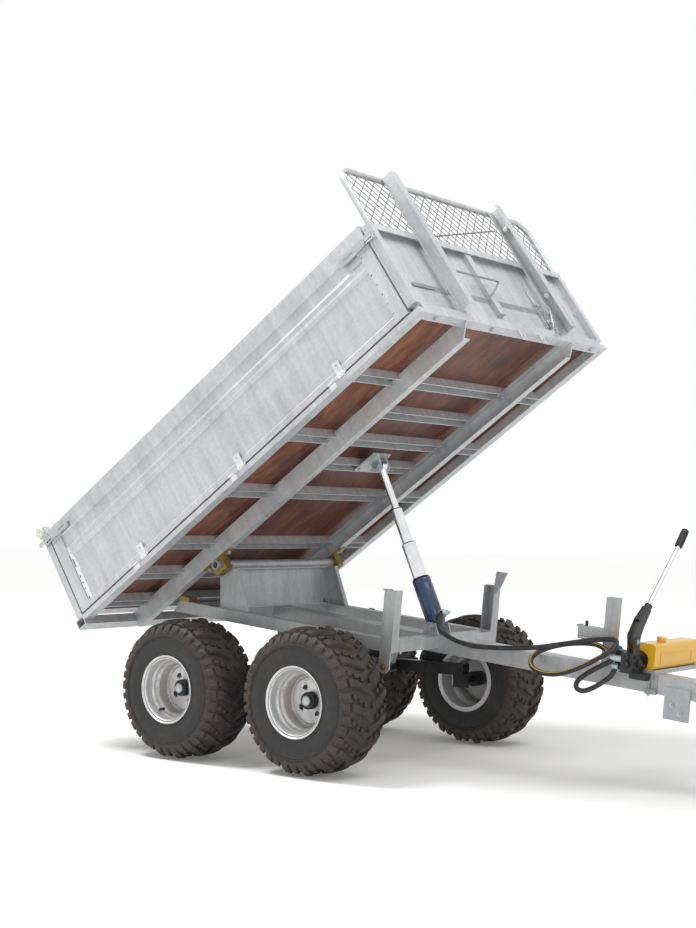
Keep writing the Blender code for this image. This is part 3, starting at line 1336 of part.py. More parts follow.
def parking_leg(parent):
    height = RAIL_TOP - LEG_PIN_BELOW_TOP
    out = DRAWBAR_WIDTH / 2 + LEG_BRACKET + LEG_TUBE / 2 + LEG_PLAY
    pivot = axes("leg_axis", (LEG_ALONG, out, height), -CHASSIS_PITCH, parent)
    bpy.context.view_layer.update()
    floor = -pivot.matrix_world.translation.z
    half = LEG_TUBE / 2
    foot = LEG_FOOT / 2
    solid("parking_leg", [
        block((-half, half), (-half, half), (floor + LEG_FOOT_PLATE / 2, LEG_TUBE)),
        block((-foot, foot), (-half - LEG_PLAY, foot), (floor, floor + LEG_FOOT_PLATE)),
    ], pivot, GALVANISED, [bar((0, -LEG_FOOT, 0), (0, LEG_FOOT, 0), LEG_PIN_RADIUS + PIN_PLAY, 16)])
    return pivot


# Hand pump

def pump(parent):
    """The tank lies across the drawbar on a tray, with the pump body and its lever on the near end."""
    front = TANK_REAR + TANK_DEPTH
    base, top, cut = TANK_BASE, TANK_BASE + TANK_HEIGHT, TANK_ROUND / 3
    rounded = []
    for x, z, inx, inz in ((TANK_REAR, base, 1, 1), (front, base, -1, 1), (front, top, -1, -1), (TANK_REAR, top, 1, -1)):
        corner = [(x + inx * TANK_ROUND, z), (x + inx * cut, z + inz * cut), (x, z + inz * TANK_ROUND)]
        rounded += corner if inx * inz < 0 else corner[::-1]
    cap_x = TANK_REAR + TANK_DEPTH / 2
    solid("pump_tank", [
        extruded(rounded, TANK_NEAR, TANK_FAR, "Y"),
        bar((cap_x, TANK_CAP_ALONG, top - BITE), (cap_x, TANK_CAP_ALONG, top + TANK_CAP_HEIGHT), TANK_CAP_RADIUS),
    ], parent, YELLOW)
    tray_rear, tray_front = TANK_REAR - TRAY_MARGIN, front + TRAY_MARGIN
    tray_base = RAIL_TOP + SEAT
    tray_near = TANK_NEAR + SEAT
    solid("pump_bracket", [
        block((tray_rear, tray_front), (tray_near, TRAY_FAR), (tray_base, tray_base + TRAY_HEIGHT - SEAT)),
    ], parent, GALVANISED, [
        block(
            (tray_rear + TRAY_SHEET, tray_front - TRAY_SHEET), (DRAWBAR_WIDTH / 2 + SEAT, TRAY_FAR + OVERRUN),
            (tray_base - OVERRUN, tray_base + TRAY_HEIGHT - TRAY_SHEET),
        ),
    ])
    head_far = TANK_NEAR - HEAD_TO_TANK
    flange_height = (HEAD_BASE + HEAD_TOP) / 2
    middle = (TANK_REAR + HEAD_FRONT) / 2
    ear = LEVER_WIDTH / 2 + SEAT
    shapes = [
        block((HEAD_REAR, HEAD_FRONT), (HEAD_NEAR, head_far), (HEAD_BASE, HEAD_TOP)),
        block((VALVE_REAR, HEAD_REAR + BITE), (VALVE_NEAR, head_far - SEAT * 2), (VALVE_BASE, HEAD_TOP - SEAT)),
        block(
            (HEAD_FRONT - HEAD_FOOT_LENGTH / 2, HEAD_FRONT + HEAD_FOOT_LENGTH / 2), (HEAD_NEAR / 2 - DRAWBAR_WIDTH / 4, head_far - SEAT),
            (HEAD_FOOT_BASE, HEAD_BASE + BITE),
        ),
        bar((middle, head_far - BITE, flange_height + HEAD_TO_TANK), (middle, TANK_NEAR - SEAT, flange_height + HEAD_TO_TANK), HEAD_FLANGE_RADIUS, 16),
    ]
    for side in (-1, 1):
        near = LEVER_PLANE + side * ear
        far = near + side * EAR_SHEET
        shapes.append(block((near, far), (CLEVIS_NEAR, CLEVIS_FAR), (HEAD_TOP - BITE, HEAD_EARS_TOP)))
    union_start = Vector(UNION_END)
    inlet_start = Vector(INLET_END)
    shapes.append(bar(union_start, union_start + Vector((HOSE_DIAMETER, 0, 0)), UNION_RADIUS, 8))
    shapes.append(bar(inlet_start, inlet_start + Vector((HOSE_DIAMETER * 2, 0, 0)), UNION_RADIUS, 8))
    solid("pump_head", shapes, parent, BLACK_STEEL)
    return head_far


def pump_handle(parent):
    """The lever: a forged foot between the ears, a socket, and a rod with a grip."""
    def on_plane(point):
        return Vector((LEVER_PLANE, *point))

    half = LEVER_WIDTH / 2
    foot, shoulder = Vector(LEVER_FOOT), Vector(LEVER_SHOULDER)
    along = (shoulder - foot).normalized()
    out = Vector((along.y, -along.x)) * half
    forged = extruded([tuple(foot - out), tuple(foot + out), tuple(shoulder + out), tuple(shoulder - out)],
                      LEVER_PLANE - half, LEVER_PLANE + half, "X")
    return solid("pump_handle", [
        forged,
        bar(on_plane(shoulder - along * half), on_plane(LEVER_SOCKET), LEVER_SOCKET_RADIUS),
        pipe([on_plane(Vector(LEVER_SOCKET) - along * half), on_plane(LEVER_KINK), on_plane(LEVER_GRIP)], LEVER_ROD_RADIUS, 8),
        bar(on_plane(Vector(LEVER_GRIP) - along * half), on_plane(LEVER_TIP), LEVER_GRIP_RADIUS),
    ], parent, BLACK_STEEL)


# Hoses

def smooth_points(route, spacing):
    """Evenly spaced points of a smooth curve through the route's own points."""
    route = [Vector(point) for point in route]
    padded = [route[0] * 2 - route[1]] + route + [route[-1] * 2 - route[-2]]
    fine = []
    steps = 24
    for a, b, c, d in zip(padded, padded[1:], padded[2:], padded[3:]):
        for i in range(steps):
            t = i / steps
            fine.append((
                b * 2 + (c - a) * t + (a * 2 - b * 5 + c * 4 - d) * t ** 2 + (b * 3 - a - c * 3 + d) * t ** 3
            ) / 2)
    fine.append(route[-1])
    runs = [0]
    for near, far in zip(fine, fine[1:]):
        runs.append(runs[-1] + (far - near).length)
    count = max(2, round(runs[-1] / spacing))
    points = []
    place = 0
    for i in range(count + 1):
        wanted = runs[-1] * i / count
        while place < len(runs) - 2 and runs[place + 1] < wanted:
            place += 1
        share = (wanted - runs[place]) / (runs[place + 1] - runs[place])
        points.append(fine[place].lerp(fine[place + 1], share))
    return points


def hose(name, route, parent):
    """A free hose as a round tube along its route, straight where it leaves its fittings."""
    curve = bpy.data.curves.new(name, "CURVE")
    curve.dimensions = "3D"
    curve.bevel_depth = HOSE_DIAMETER / 2
    curve.bevel_resolution = 2
    curve.use_fill_caps = True
    points = [route[0], *smooth_points(route[1:-1], HOSE_DIAMETER * HOSE_SPACING_SHARE), route[-1]]
    line = curve.splines.new("POLY")
    line.points.add(len(points) - 1)
    for corner, point in zip(line.points, points):
        corner.co = (*point, 1)
    body = bpy.data.objects.new(name, curve)
    bpy.context.scene.collection.objects.link(body)
    body.parent = parent
    curve.materials.append(paint(name, *BLACK_RUBBER))
    return body


def hoses(parent, lift_root):
    """The lift hose from the barrel's port to the pump, and the short loop between two unions."""
    bpy.context.view_layer.update()
    to_chassis = parent.matrix_world.inverted() @ lift_root.matrix_world
    outlet = to_chassis @ Vector((PORT_OUT, -PORT_REACH - SEAT, PORT_HEIGHT))
    inlet = Vector(INLET_END) - Vector((SEAT, 0, 0))
    lead = Vector((HOSE_LEAD, 0, 0))
    hose("hose_line", [outlet, outlet - Vector((0, HOSE_LEAD, 0)), *LIFT_HOSE_ROUTE, inlet - lead, inlet], parent)
    ferrule = Vector(FERRULE_END)
    union = Vector(UNION_END)
    start, end = ferrule - Vector((SEAT, 0, 0)), union - Vector((SEAT, 0, 0))
    hose("hose_loop", [start, start - lead, *LOOP_HOSE_ROUTE, end - lead, end], parent)
    into_head = Vector((HEAD_REAR - SEAT, ferrule.y, ferrule.z))
    solid("hose_ferrule", [bar(ferrule, into_head, FERRULE_RADIUS)], parent, BRIGHT_ZINC)


def build():
    clear_scene()
    trailer = axes("trailer_axes", (0, 0, 0), 0)
    chassis = axes("chassis_axes", (0, 0, AXLE_HEIGHT), CHASSIS_PITCH, trailer)
    for side in (-1, 1):
        frame_half(side, chassis)
        bump_pad(side, chassis)
        walking_beam(side, trailer)
    drawbar(chassis)
    coupling_head(chassis)
    hinge_tower(chassis)
    pivot_tube(chassis)
    for along, end in ((WHEEL_BASE / 2, "front"), (-WHEEL_BASE / 2, "rear")):
        wheel("wheel_" + end + "_right", along, -1, trailer)
        wheel("wheel_" + end + "_left", along, 1, trailer)
    bed = axes("bed_axes", (HINGE_ALONG, 0, HINGE_HEIGHT), -TIP_ANGLE, chassis)
    bed_frame(bed)
    bed_floor(bed)
    headboard(bed)
    headboard_latch(bed)
    mesh_frame(bed)
    guard_mesh(bed)
    rear_posts(bed)
    for side in (-1, 1):
        drop_side(side, bed)
        hinge_bracket(side, bed)
    tailgate(bed)
    lift_root = lift(chassis)
    lift_clevis(bed)
    parking_leg(chassis)
    pump(chassis)
    pump_handle(chassis)
    hoses(chassis, lift_root)
    centre_footprint(trailer)


def centre_footprint(trailer):
    """Slides the whole trailer so that the middle of its length and width is the origin."""
    bpy.context.view_layer.update()
    graph = bpy.context.evaluated_depsgraph_get()
    low, high = Vector((math.inf,) * 3), Vector((-math.inf,) * 3)
    for thing in bpy.context.scene.objects:
        if thing.type not in {"MESH", "CURVE"} or thing.hide_render:
            continue
        made = thing.evaluated_get(graph)
        mesh = made.to_mesh()
        for vertex in mesh.vertices:
            point = made.matrix_world @ vertex.co
            low = Vector(map(min, low, point))
            high = Vector(map(max, high, point))
        made.to_mesh_clear()
    middle = (low + high) / 2
    trailer.location = (-middle.x, -middle.y, -low.z)
    bpy.context.view_layer.update()


build()
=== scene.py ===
"""Finish of the tipping quad trailer: galvanised steel, hardwood floor, knobbed tyres and hydraulics."""

import json
import math

import bmesh
import bpy
from mathutils import Matrix, Vector


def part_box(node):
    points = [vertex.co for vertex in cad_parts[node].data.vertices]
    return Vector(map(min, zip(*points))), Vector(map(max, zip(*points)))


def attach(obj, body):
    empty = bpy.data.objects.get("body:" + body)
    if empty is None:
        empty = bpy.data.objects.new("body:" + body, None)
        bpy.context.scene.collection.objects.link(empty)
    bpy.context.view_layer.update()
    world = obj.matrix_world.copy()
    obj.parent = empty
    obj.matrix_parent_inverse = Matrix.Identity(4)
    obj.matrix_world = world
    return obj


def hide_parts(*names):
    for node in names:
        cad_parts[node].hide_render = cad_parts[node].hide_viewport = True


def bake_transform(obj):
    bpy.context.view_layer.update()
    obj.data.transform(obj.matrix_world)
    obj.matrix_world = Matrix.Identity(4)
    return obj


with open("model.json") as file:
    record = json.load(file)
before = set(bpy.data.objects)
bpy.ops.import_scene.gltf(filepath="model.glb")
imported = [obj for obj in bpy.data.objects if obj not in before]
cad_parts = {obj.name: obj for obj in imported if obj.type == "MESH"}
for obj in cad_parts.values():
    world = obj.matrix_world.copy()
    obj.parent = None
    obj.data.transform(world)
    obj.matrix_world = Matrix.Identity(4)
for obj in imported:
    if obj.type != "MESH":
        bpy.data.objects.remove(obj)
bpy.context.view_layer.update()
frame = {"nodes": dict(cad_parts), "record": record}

# Camera, fitted to the photograph
CAMERA_FROM_BOGIE = (4.0637, -5.2138, 0.9586)
CAMERA_AZIMUTH = math.radians(37.70)
CAMERA_TILT_UP = math.radians(2.33)
CAMERA_ROLL = math.radians(0.595)
CAMERA_LENS = 59.18
CAMERA_SENSOR = 36

# Stance of the chassis and the bed
AXLE_HEIGHT = 0.285
CHASSIS_PITCH = math.radians(5.6)
TIP_ANGLE = math.radians(39.9)
HINGE_ALONG = -0.393
HINGE_HEIGHT = 0.467
BED_BEHIND_HINGE = 0.58
BED_ABOVE_HINGE = 0.081

# Wheels
TRACK = 1.18
TYRE_RADIUS = 0.285
TYRE_HALF_WIDTH = 0.1335
BEAD_RADIUS = 0.1283
TREAD_PITCHES = 18
LUG_SINK = 0.002

# Bed sizes, from the rear edge, the middle and the underside of the rails
BED_LENGTH = 2.15
BED_HALF_WIDTH = 0.706
HEADBOARD_TOP = 0.43
GUARD_TOP = 0.73
GUARD_TUBE = 0.012
GUARD_CORNER = 0.07
GUARD_PLANE = 2.1362
WIRE_LONG = 0.057
WIRE_TALL = 0.053
WIRE_RADIUS = 0.0016
SEAM_TURNS = 9
BEARER_PLACES = (0.15, 0.37, 0.6, 0.985, 1.37, 1.755)
HINGE_PLACES = (0.455, 1.1, 1.7)
SIDE_FACE = 0.7062
SIDE_PIN = 0.706

# Lift: its pins in the chassis and bed axes, and its stages along the barrel
LIFT_FOOT = Vector((0.482, 0, 0.312))
EYE_PLACE = (1.281, 0, -0.041)
BARREL_TOP = 0.214
STAGE_TRAVEL = 0.157

# Pump, in the chassis axes
PUMP_FACE = 1.4443
LEVER_PLANE = 1.43
GRIP_PITCH = 0.0075

# Hoses, in the chassis axes
HOSE_DIAMETER = 0.019
HOSE_SIDES = 16
HOSE_LEAD = 0.012
LIFT_HOSE_ROUTE = (
    (0.531, -0.066, 0.364), (0.535, -0.077, 0.341), (0.545, -0.08, 0.319), (0.568, -0.08, 0.302),
    (0.6, -0.08, 0.289), (0.64, -0.08, 0.279), (0.689, -0.08, 0.273), (0.735, -0.08, 0.273),
    (0.791, -0.08, 0.279), (0.87, -0.08, 0.289), (0.946, -0.08, 0.301), (1.026, -0.08, 0.318),
    (1.104, -0.08, 0.34), (1.18, -0.078, 0.361), (1.255, -0.075, 0.38), (1.315, -0.083, 0.391),
    (1.353, -0.108, 0.39), (1.362, -0.136, 0.372), (1.339, -0.152, 0.345), (1.3, -0.158, 0.317),
    (1.254, -0.158, 0.288), (1.204, -0.156, 0.261), (1.145, -0.152, 0.238), (1.087, -0.146, 0.229),
    (1.034, -0.132, 0.234), (1.0, -0.112, 0.25), (0.991, -0.09, 0.272), (1.007, -0.07, 0.296),
    (1.052, -0.054, 0.32), (1.108, -0.047, 0.339), (1.175, -0.046, 0.353), (1.235, -0.05, 0.358),
    (1.285, -0.066, 0.35),
)
LOOP_HOSE_ROUTE = (
    (1.343, -0.132, 0.314), (1.298, -0.136, 0.285), (1.252, -0.14, 0.251), (1.222, -0.14, 0.22),
    (1.22, -0.136, 0.195), (1.246, -0.13, 0.189), (1.283, -0.125, 0.207), (1.32, -0.122, 0.235),
    (1.35, -0.12, 0.263),
)
PORT_END = (0.0750, -0.0343, 0.035)
INLET_END = (1.3247, -0.082, 0.34)
FERRULE_END = (1.3717, -0.13, 0.332)
UNION_END = (1.3777, -0.12, 0.3)

# Fineness of curves and of the edges that stay sharp
CURVE_STEPS = 24
SHARP_EDGE = math.radians(32)

# Light and floor: each lamp's power in watts, size and place
WORLD_LIGHT = 0.5
WORLD_SEEN = 1.0
LAMPS = (
    ("sky", 300, 1.6, (-3.0, -1.5, 5.8)), ("over", 150, 4.0, (2.0, -0.6, 6.0)),
    ("front", 55, 3.0, (5.5, -3.0, 2.2)),
)
LAMP_AIM = Vector((-0.2, 0, 1.0))
FLOOR_REACH = 40


def bogie_centre():
    """The middle between the front and rear wheels, on the floor."""
    low_front, high_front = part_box("wheel_front_right_rim")
    low_rear, high_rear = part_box("wheel_rear_right_rim")
    return Vector(((low_front.x + high_front.x + low_rear.x + high_rear.x) / 4, 0, 0))


BOGIE = bogie_centre()
CHASSIS = Matrix.Translation(BOGIE + Vector((0, 0, AXLE_HEIGHT))) @ Matrix.Rotation(CHASSIS_PITCH, 4, "Y")
BED = (
    CHASSIS
    @ Matrix.Translation((HINGE_ALONG, 0, HINGE_HEIGHT))
    @ Matrix.Rotation(-TIP_ANGLE, 4, "Y")
    @ Matrix.Translation((-BED_BEHIND_HINGE, 0, BED_ABOVE_HINGE))
)
LIFT_EYE = CHASSIS.inverted() @ BED @ Vector(EYE_PLACE)
LIFT_LENGTH = (LIFT_EYE - LIFT_FOOT).length
LIFT_LEAN = math.atan2(LIFT_EYE.x - LIFT_FOOT.x, LIFT_EYE.z - LIFT_FOOT.z)
LIFT = CHASSIS @ Matrix.Translation(LIFT_FOOT) @ Matrix.Rotation(LIFT_LEAN, 4, "Y")
ROW = Matrix.Identity(4)


def place_camera():
    """The camera at the photograph's viewing angle."""
    turn, tilt, roll = CAMERA_AZIMUTH, CAMERA_TILT_UP, CAMERA_ROLL
    ahead = Vector((-math.sin(turn) * math.cos(tilt), math.cos(turn) * math.cos(tilt), math.sin(tilt)))
    right = Vector((math.cos(turn), math.sin(turn), 0))
    up = right.cross(ahead)
    level_right = right * math.cos(roll) + up * math.sin(roll)
    level_up = up * math.cos(roll) - right * math.sin(roll)
    data = bpy.data.cameras.new("camera")
    data.sensor_width = CAMERA_SENSOR
    data.lens = CAMERA_LENS
    camera = bpy.data.objects.new("camera", data)
    bpy.context.scene.collection.objects.link(camera)
    place = Matrix((level_right, level_up, -ahead)).transposed().to_4x4()
    place.translation = BOGIE + Vector(CAMERA_FROM_BOGIE)
    camera.matrix_world = place
    bpy.context.scene.camera = camera


place_camera()
bpy.context.scene.view_settings.view_transform = "Standard"


# Materials

class Signal:
    """A shader socket that takes part in sums."""

    def __init__(self, recipe, socket):
        self.recipe = recipe
        self.socket = socket

    def _math(self, operation, *others):
        return self.recipe.node("ShaderNodeMath", {"operation": operation}, *others)

    def __add__(self, other):
        return self._math("ADD", self, other)

    def __sub__(self, other):
        return self._math("SUBTRACT", self, other)

    def __rsub__(self, other):
        return self._math("SUBTRACT", other, self)

    def __mul__(self, other):
        return self._math("MULTIPLY", self, other)

    def __gt__(self, other):
        return self._math("GREATER_THAN", self, other)

    def __lt__(self, other):
        return self._math("LESS_THAN", self, other)

    __radd__ = __add__
    __rmul__ = __mul__


class Recipe:
    """One material and the way its nodes are made."""

    def __init__(self, name):
        self.material = bpy.data.materials.new(name)
        self.material.use_nodes = True
        self.tree = self.material.node_tree
        self.shader = self.tree.nodes["Principled BSDF"]

    def node(self, kind, settings, *values, output=0, **named):
        made = self.tree.nodes.new(kind)
        for key, value in settings.items():
            if key == "stops":
                ramp = made.color_ramp
                while len(ramp.elements) < len(value):
                    ramp.elements.new(1)
                for element, (position, colour) in zip(ramp.elements, value):
                    element.position = position
                    element.color = (*colour, 1)
            else:
                setattr(made, key, value)
        for place, value in list(enumerate(values)) + list(named.items()):
            key = place.replace("_", " ") if isinstance(place, str) else place
            self.feed(made.inputs[key], value)
        return Signal(self, made.outputs[output])

    def feed(self, socket, value):
        if isinstance(value, Signal):
            self.tree.links.new(value.socket, socket)
        elif value is not None:
            socket.default_value = value

    def set(self, **values):
        for key, value in values.items():
            self.feed(self.shader.inputs[key.replace("_", " ")], value)

    def place(self):
        return self.node("ShaderNodeTexCoord", {}, output="Object")

    def turned(self, vector, matrix):
        """The place in another piece's axes."""
        home = matrix.inverted()
        return self.node(
            "ShaderNodeMapping", {"vector_type": "POINT"}, vector,
            Location=home.translation, Rotation=home.to_euler(),
        )

    def stretched(self, vector, factors):
        return self.node("ShaderNodeVectorMath", {"operation": "MULTIPLY"}, vector, factors)

    def parts(self, vector):
        split = self.node("ShaderNodeSeparateXYZ", {}, vector)
        outputs = split.socket.node.outputs
        return [Signal(self, outputs[i]) for i in range(3)]

    def distance(self, vector, axes):
        """How far a place lies from the line across two axes, given by their numbers."""
        parts = self.parts(vector)
        first, second = (parts[axis] for axis in axes)
        return self.node("ShaderNodeMath", {"operation": "POWER"}, first * first + second * second, 0.5)

    def noise(self, vector, scale, detail=4, rough=0.55):
        return self.node("ShaderNodeTexNoise", {}, vector, Scale=scale, Detail=detail, Roughness=rough)

    def cells(self, vector, scale):
        colour = self.node("ShaderNodeTexVoronoi", {}, vector, Scale=scale, output="Color")
        return self.node("ShaderNodeSeparateColor", {}, colour)

    def spread(self, value, low, high):
        """The value carried from its range to 0 and 1, held at its ends."""
        return self.node("ShaderNodeMapRange", {"clamp": True}, value, From_Min=low, From_Max=high)

    def blend(self, factor, first, second):
        first = (*first, 1) if isinstance(first, tuple) else first
        second = (*second, 1) if isinstance(second, tuple) else second
        made = self.tree.nodes.new("ShaderNodeMix")
        made.data_type = "RGBA"
        for socket, value in ((made.inputs[0], factor), (made.inputs[6], first), (made.inputs[7], second)):
            self.feed(socket, value)
        return Signal(self, made.outputs[2])

    def relief(self, height, strength, depth, under=None):
        return self.node("ShaderNodeBump", {}, Strength=strength, Distance=depth, Height=height, Normal=under)


def galvanised(name, tone, dirt, axes):
    """Hot-dip zinc: soft clouds and long runs down the sheet, with a brown film where mud has dried."""
    recipe = Recipe(name)
    place = recipe.turned(recipe.place(), axes)
    spangle = recipe.cells(place, 85)
    cloud = recipe.noise(place, 3.1, 6, 0.6)
    runs = recipe.noise(recipe.stretched(place, (24, 24, 1.9)), 1, 6, 0.62)
    fine = recipe.noise(place, 46, 6, 0.7)
    brightness = spangle * 0.06 + cloud * 0.36 + runs * 0.48 + fine * 0.1
    zinc = recipe.node("ShaderNodeValToRGB", {"stops": (
        (0.3, (0.33 * tone, 0.35 * tone, 0.365 * tone)), (0.5, (0.475 * tone, 0.49 * tone, 0.5 * tone)),
        (0.7, (0.62 * tone, 0.635 * tone, 0.645 * tone)),
    )}, brightness)
    film = recipe.spread(recipe.noise(place, 9, 8, 0.7), 0.54, 0.78) * dirt
    stain = recipe.spread(recipe.noise(place, 1.7, 5), 0.5, 0.74) * (dirt * 0.8)
    coloured = recipe.blend(film, recipe.blend(stain, zinc, (0.36, 0.335, 0.29)), (0.24, 0.185, 0.13))
    uneven = recipe.relief(cloud + runs * 0.5, 0.14, 0.003)
    recipe.set(
        Base_Color=coloured, Metallic=0.42 - film * 0.35, Roughness=0.36 + cloud * 0.2 + film * 0.3,
        Normal=recipe.relief(fine, 0.07, 0.0008, uneven),
    )
    return recipe.material


def tyre_rubber(name, centre):
    """Dark rubber with dried mud low between its bars, thin dust on the wall and worn bar tops."""
    recipe = Recipe(name)
    place = recipe.place()
    radius = recipe.distance(recipe.turned(place, Matrix.Translation(centre)), (0, 2))
    dust = recipe.noise(place, 42, 8, 0.72)
    patches = recipe.noise(place, 7, 6, 0.6)
    tread = recipe.spread(radius, 0.218, 0.226)
    top = recipe.spread(radius, 0.272, 0.282)
    grooves = recipe.spread(dust * 0.45 + patches * 0.55, 0.38, 0.66) * tread * (1 - top * 0.72)
    smear = recipe.spread(dust * 0.4 + patches * 0.6, 0.53, 0.72) * (1 - tread) * 0.34
    mud = grooves * 0.62 + smear
    rubber = recipe.blend(dust * 0.6 + patches * 0.4, (0.009, 0.009, 0.0095), (0.042, 0.04, 0.039))
    grain = recipe.noise(place, 340, 3)
    recipe.set(
        Base_Color=recipe.blend(mud, rubber, (0.115, 0.085, 0.062)),
        Roughness=0.56 + mud * 0.34,
        Specular_IOR_Level=0.4,
        Normal=recipe.relief(grain * 0.5 + dust * 0.9, 0.4, 0.0018),
    )
    return recipe.material


def wheel_silver(name, centre):
    """Silver lacquer with dust in the dish and small chips through to the metal."""
    recipe = Recipe(name)
    place = recipe.place()
    radius = recipe.distance(recipe.turned(place, Matrix.Translation(centre)), (0, 2))
    dust = recipe.noise(place, 14, 7, 0.65)
    fine = recipe.noise(place, 90, 4)
    ring = recipe.spread(radius, 0.09, 0.1) * (1 - recipe.spread(radius, 0.102, 0.118))
    dirt = recipe.spread(dust + ring * 0.22, 0.48, 0.8) * 0.6
    chips = (recipe.noise(place, 130, 2) > 0.735) * 0.8
    silver = recipe.blend(fine, (0.56, 0.565, 0.57), (0.7, 0.705, 0.71))
    coloured = recipe.blend(dirt, silver, (0.26, 0.215, 0.165))
    recipe.set(
        Base_Color=recipe.blend(chips, coloured, (0.20, 0.11, 0.065)),
        Metallic=0.55 - dirt * 0.5,
        Roughness=0.36 + dirt * 0.45,
        Normal=recipe.relief(fine * 0.4 + dust, 0.12, 0.001),
    )
    return recipe.material


def black_paint(name, dusty):
    """Black enamel with dust on it, and grey where it is rubbed."""
    recipe = Recipe(name)
    place = recipe.place()
    dust = recipe.noise(place, 22, 8, 0.7)
    rub = recipe.noise(place, 70, 5, 0.7)
    film = recipe.spread(dust, 0.52, 0.8) * dusty
    paint = recipe.blend(recipe.spread(rub, 0.62, 0.72), (0.011, 0.011, 0.012), (0.05, 0.05, 0.052))
    recipe.set(
        Base_Color=recipe.blend(film, paint, (0.12, 0.1, 0.08)),
        Roughness=0.36 + film * 0.5 + rub * 0.14,
        Normal=recipe.relief(rub + dust, 0.2, 0.001),
    )
    return recipe.material


def enamel(name, colour, shade, gloss):
    """Coloured enamel, clouded darker at random, with scuffs and a little dust."""
    recipe = Recipe(name)
    place = recipe.place()
    cloud = recipe.noise(place, 12, 6)
    scuff = recipe.spread(recipe.noise(place, 85, 6, 0.75), 0.63, 0.7)
    film = recipe.spread(recipe.noise(place, 24, 8, 0.7), 0.56, 0.82) * 0.3
    base = recipe.blend(cloud, shade, colour)
    recipe.set(
        Base_Color=recipe.blend(film, recipe.blend(scuff * 0.55, base, (0.33, 0.3, 0.25)), (0.2, 0.15, 0.1)),
        Roughness=gloss + film * 0.5 + scuff * 0.2,
        Coat_Weight=0.25,
        Normal=recipe.relief(cloud + scuff * 0.3, 0.1, 0.001),
    )
    return recipe.material


def zinc_plate(name, low, high, roughness):
    """Electroplated zinc: a clouded, slightly rainbowed film."""
    recipe = Recipe(name)
    place = recipe.place()
    cloud = recipe.noise(place, 26, 6)
    fine = recipe.noise(place, 140, 3)
    recipe.set(
        Base_Color=recipe.blend(cloud * 0.8 + fine * 0.2, low, high),
        Metallic=0.78,
        Roughness=roughness + cloud * 0.2,
        Normal=recipe.relief(fine, 0.08, 0.0008),
    )
    return recipe.material


def hard_chrome(name):
    """Ground chrome: fine rings round the rod and a thin wipe of oil."""
    recipe = Recipe(name)
    x, y, z = recipe.parts(recipe.turned(recipe.place(), LIFT))
    rings = recipe.noise(recipe.node("ShaderNodeCombineXYZ", {}, x, y, z * 60), 14, 4)
    oil = recipe.noise(recipe.place(), 20, 5)
    recipe.set(
        Base_Color=recipe.blend(oil, (0.66, 0.67, 0.69), (0.86, 0.87, 0.88)),
        Metallic=1.0,
        Roughness=0.1 + rings * 0.14,
        Normal=recipe.relief(rings, 0.06, 0.0004),
    )
    return recipe.material


def hardwood(name):
    """Wide boards along the bed with staggered joints, worn and oiled red-brown."""
    recipe = Recipe(name)
    place = recipe.turned(recipe.place(), BED)
    along, across, up = recipe.parts(place)
    boards = recipe.tree.nodes.new("ShaderNodeTexBrick")
    boards.offset = 0.37
    boards.offset_frequency = 2
    for key, value in (
        ("Vector", place), ("Scale", 1.0), ("Mortar Size", 0.0012), ("Mortar Smooth", 0.2), ("Bias", 0.0),
        ("Brick Width", 1.3), ("Row Height", 0.168), ("Color1", (0, 0, 0, 1)), ("Color2", (1, 1, 1, 1)),
        ("Mortar", (0.5, 0.5, 0.5, 1)),
    ):
        recipe.feed(boards.inputs[key], value)
    board = recipe.node("ShaderNodeSeparateColor", {}, Signal(recipe, boards.outputs["Color"]))
    seam = Signal(recipe, boards.outputs["Fac"])
    swirl = recipe.noise(place, 2.4, 3) * 0.5
    long_grain = recipe.node(
        "ShaderNodeCombineXYZ", {}, along * 2.2 + board * 40, across * 15 + swirl * 7, up * 15,
    )
    grain = recipe.noise(long_grain, 2.2, 9, 0.68)
    pores = recipe.noise(recipe.node("ShaderNodeCombineXYZ", {}, along * 18, across * 900, up * 900), 1, 3)
    blots = recipe.spread(recipe.noise(place, 6.5, 5, 0.6), 0.5, 0.68)
    wood = recipe.node("ShaderNodeValToRGB", {"stops": (
        (0.28, (0.05, 0.014, 0.008)), (0.46, (0.135, 0.04, 0.019)), (0.6, (0.235, 0.088, 0.041)),
        (0.76, (0.36, 0.165, 0.08)),
    )}, grain * 0.72 + board * 0.16 + pores * 0.1 - blots * 0.13)
    dust = recipe.spread(recipe.noise(place, 5, 8, 0.66), 0.52, 0.8) * 0.22
    dusty = recipe.blend(dust, wood, (0.3, 0.22, 0.16))
    recipe.set(
        Base_Color=recipe.blend(seam * 0.85, dusty, (0.025, 0.01, 0.007)),
        Roughness=0.42 + dust * 0.4 + grain * 0.12,
        Normal=recipe.relief(grain * 0.4 + pores * 0.3 - seam * 1.4, 0.35, 0.0015),
    )
    return recipe.material


def hose_rubber(name, striped):
    """Black hose with a wrapped cloth grain, and a thin yellow line where it comes back."""
    recipe = Recipe(name)
    across, run = recipe.parts(recipe.node("ShaderNodeUVMap", {"uv_map": "along"}))[:2]
    weave = recipe.node("ShaderNodeMath", {"operation": "SINE"}, run * 1500 + across * math.tau * 4)
    dust = recipe.spread(recipe.noise(recipe.place(), 40, 6), 0.48, 0.75) * 0.4
    colour = recipe.blend(dust, (0.016, 0.016, 0.017), (0.14, 0.115, 0.09))
    if striped:
        line = (across > 0.46) * (across < 0.535) * (run > 1.02)
        colour = recipe.blend(line * 0.9, colour, (0.62, 0.43, 0.05))
    recipe.set(Base_Color=colour, Roughness=0.55 + dust * 0.3, Normal=recipe.relief(weave, 0.16, 0.0004))
    return recipe.material


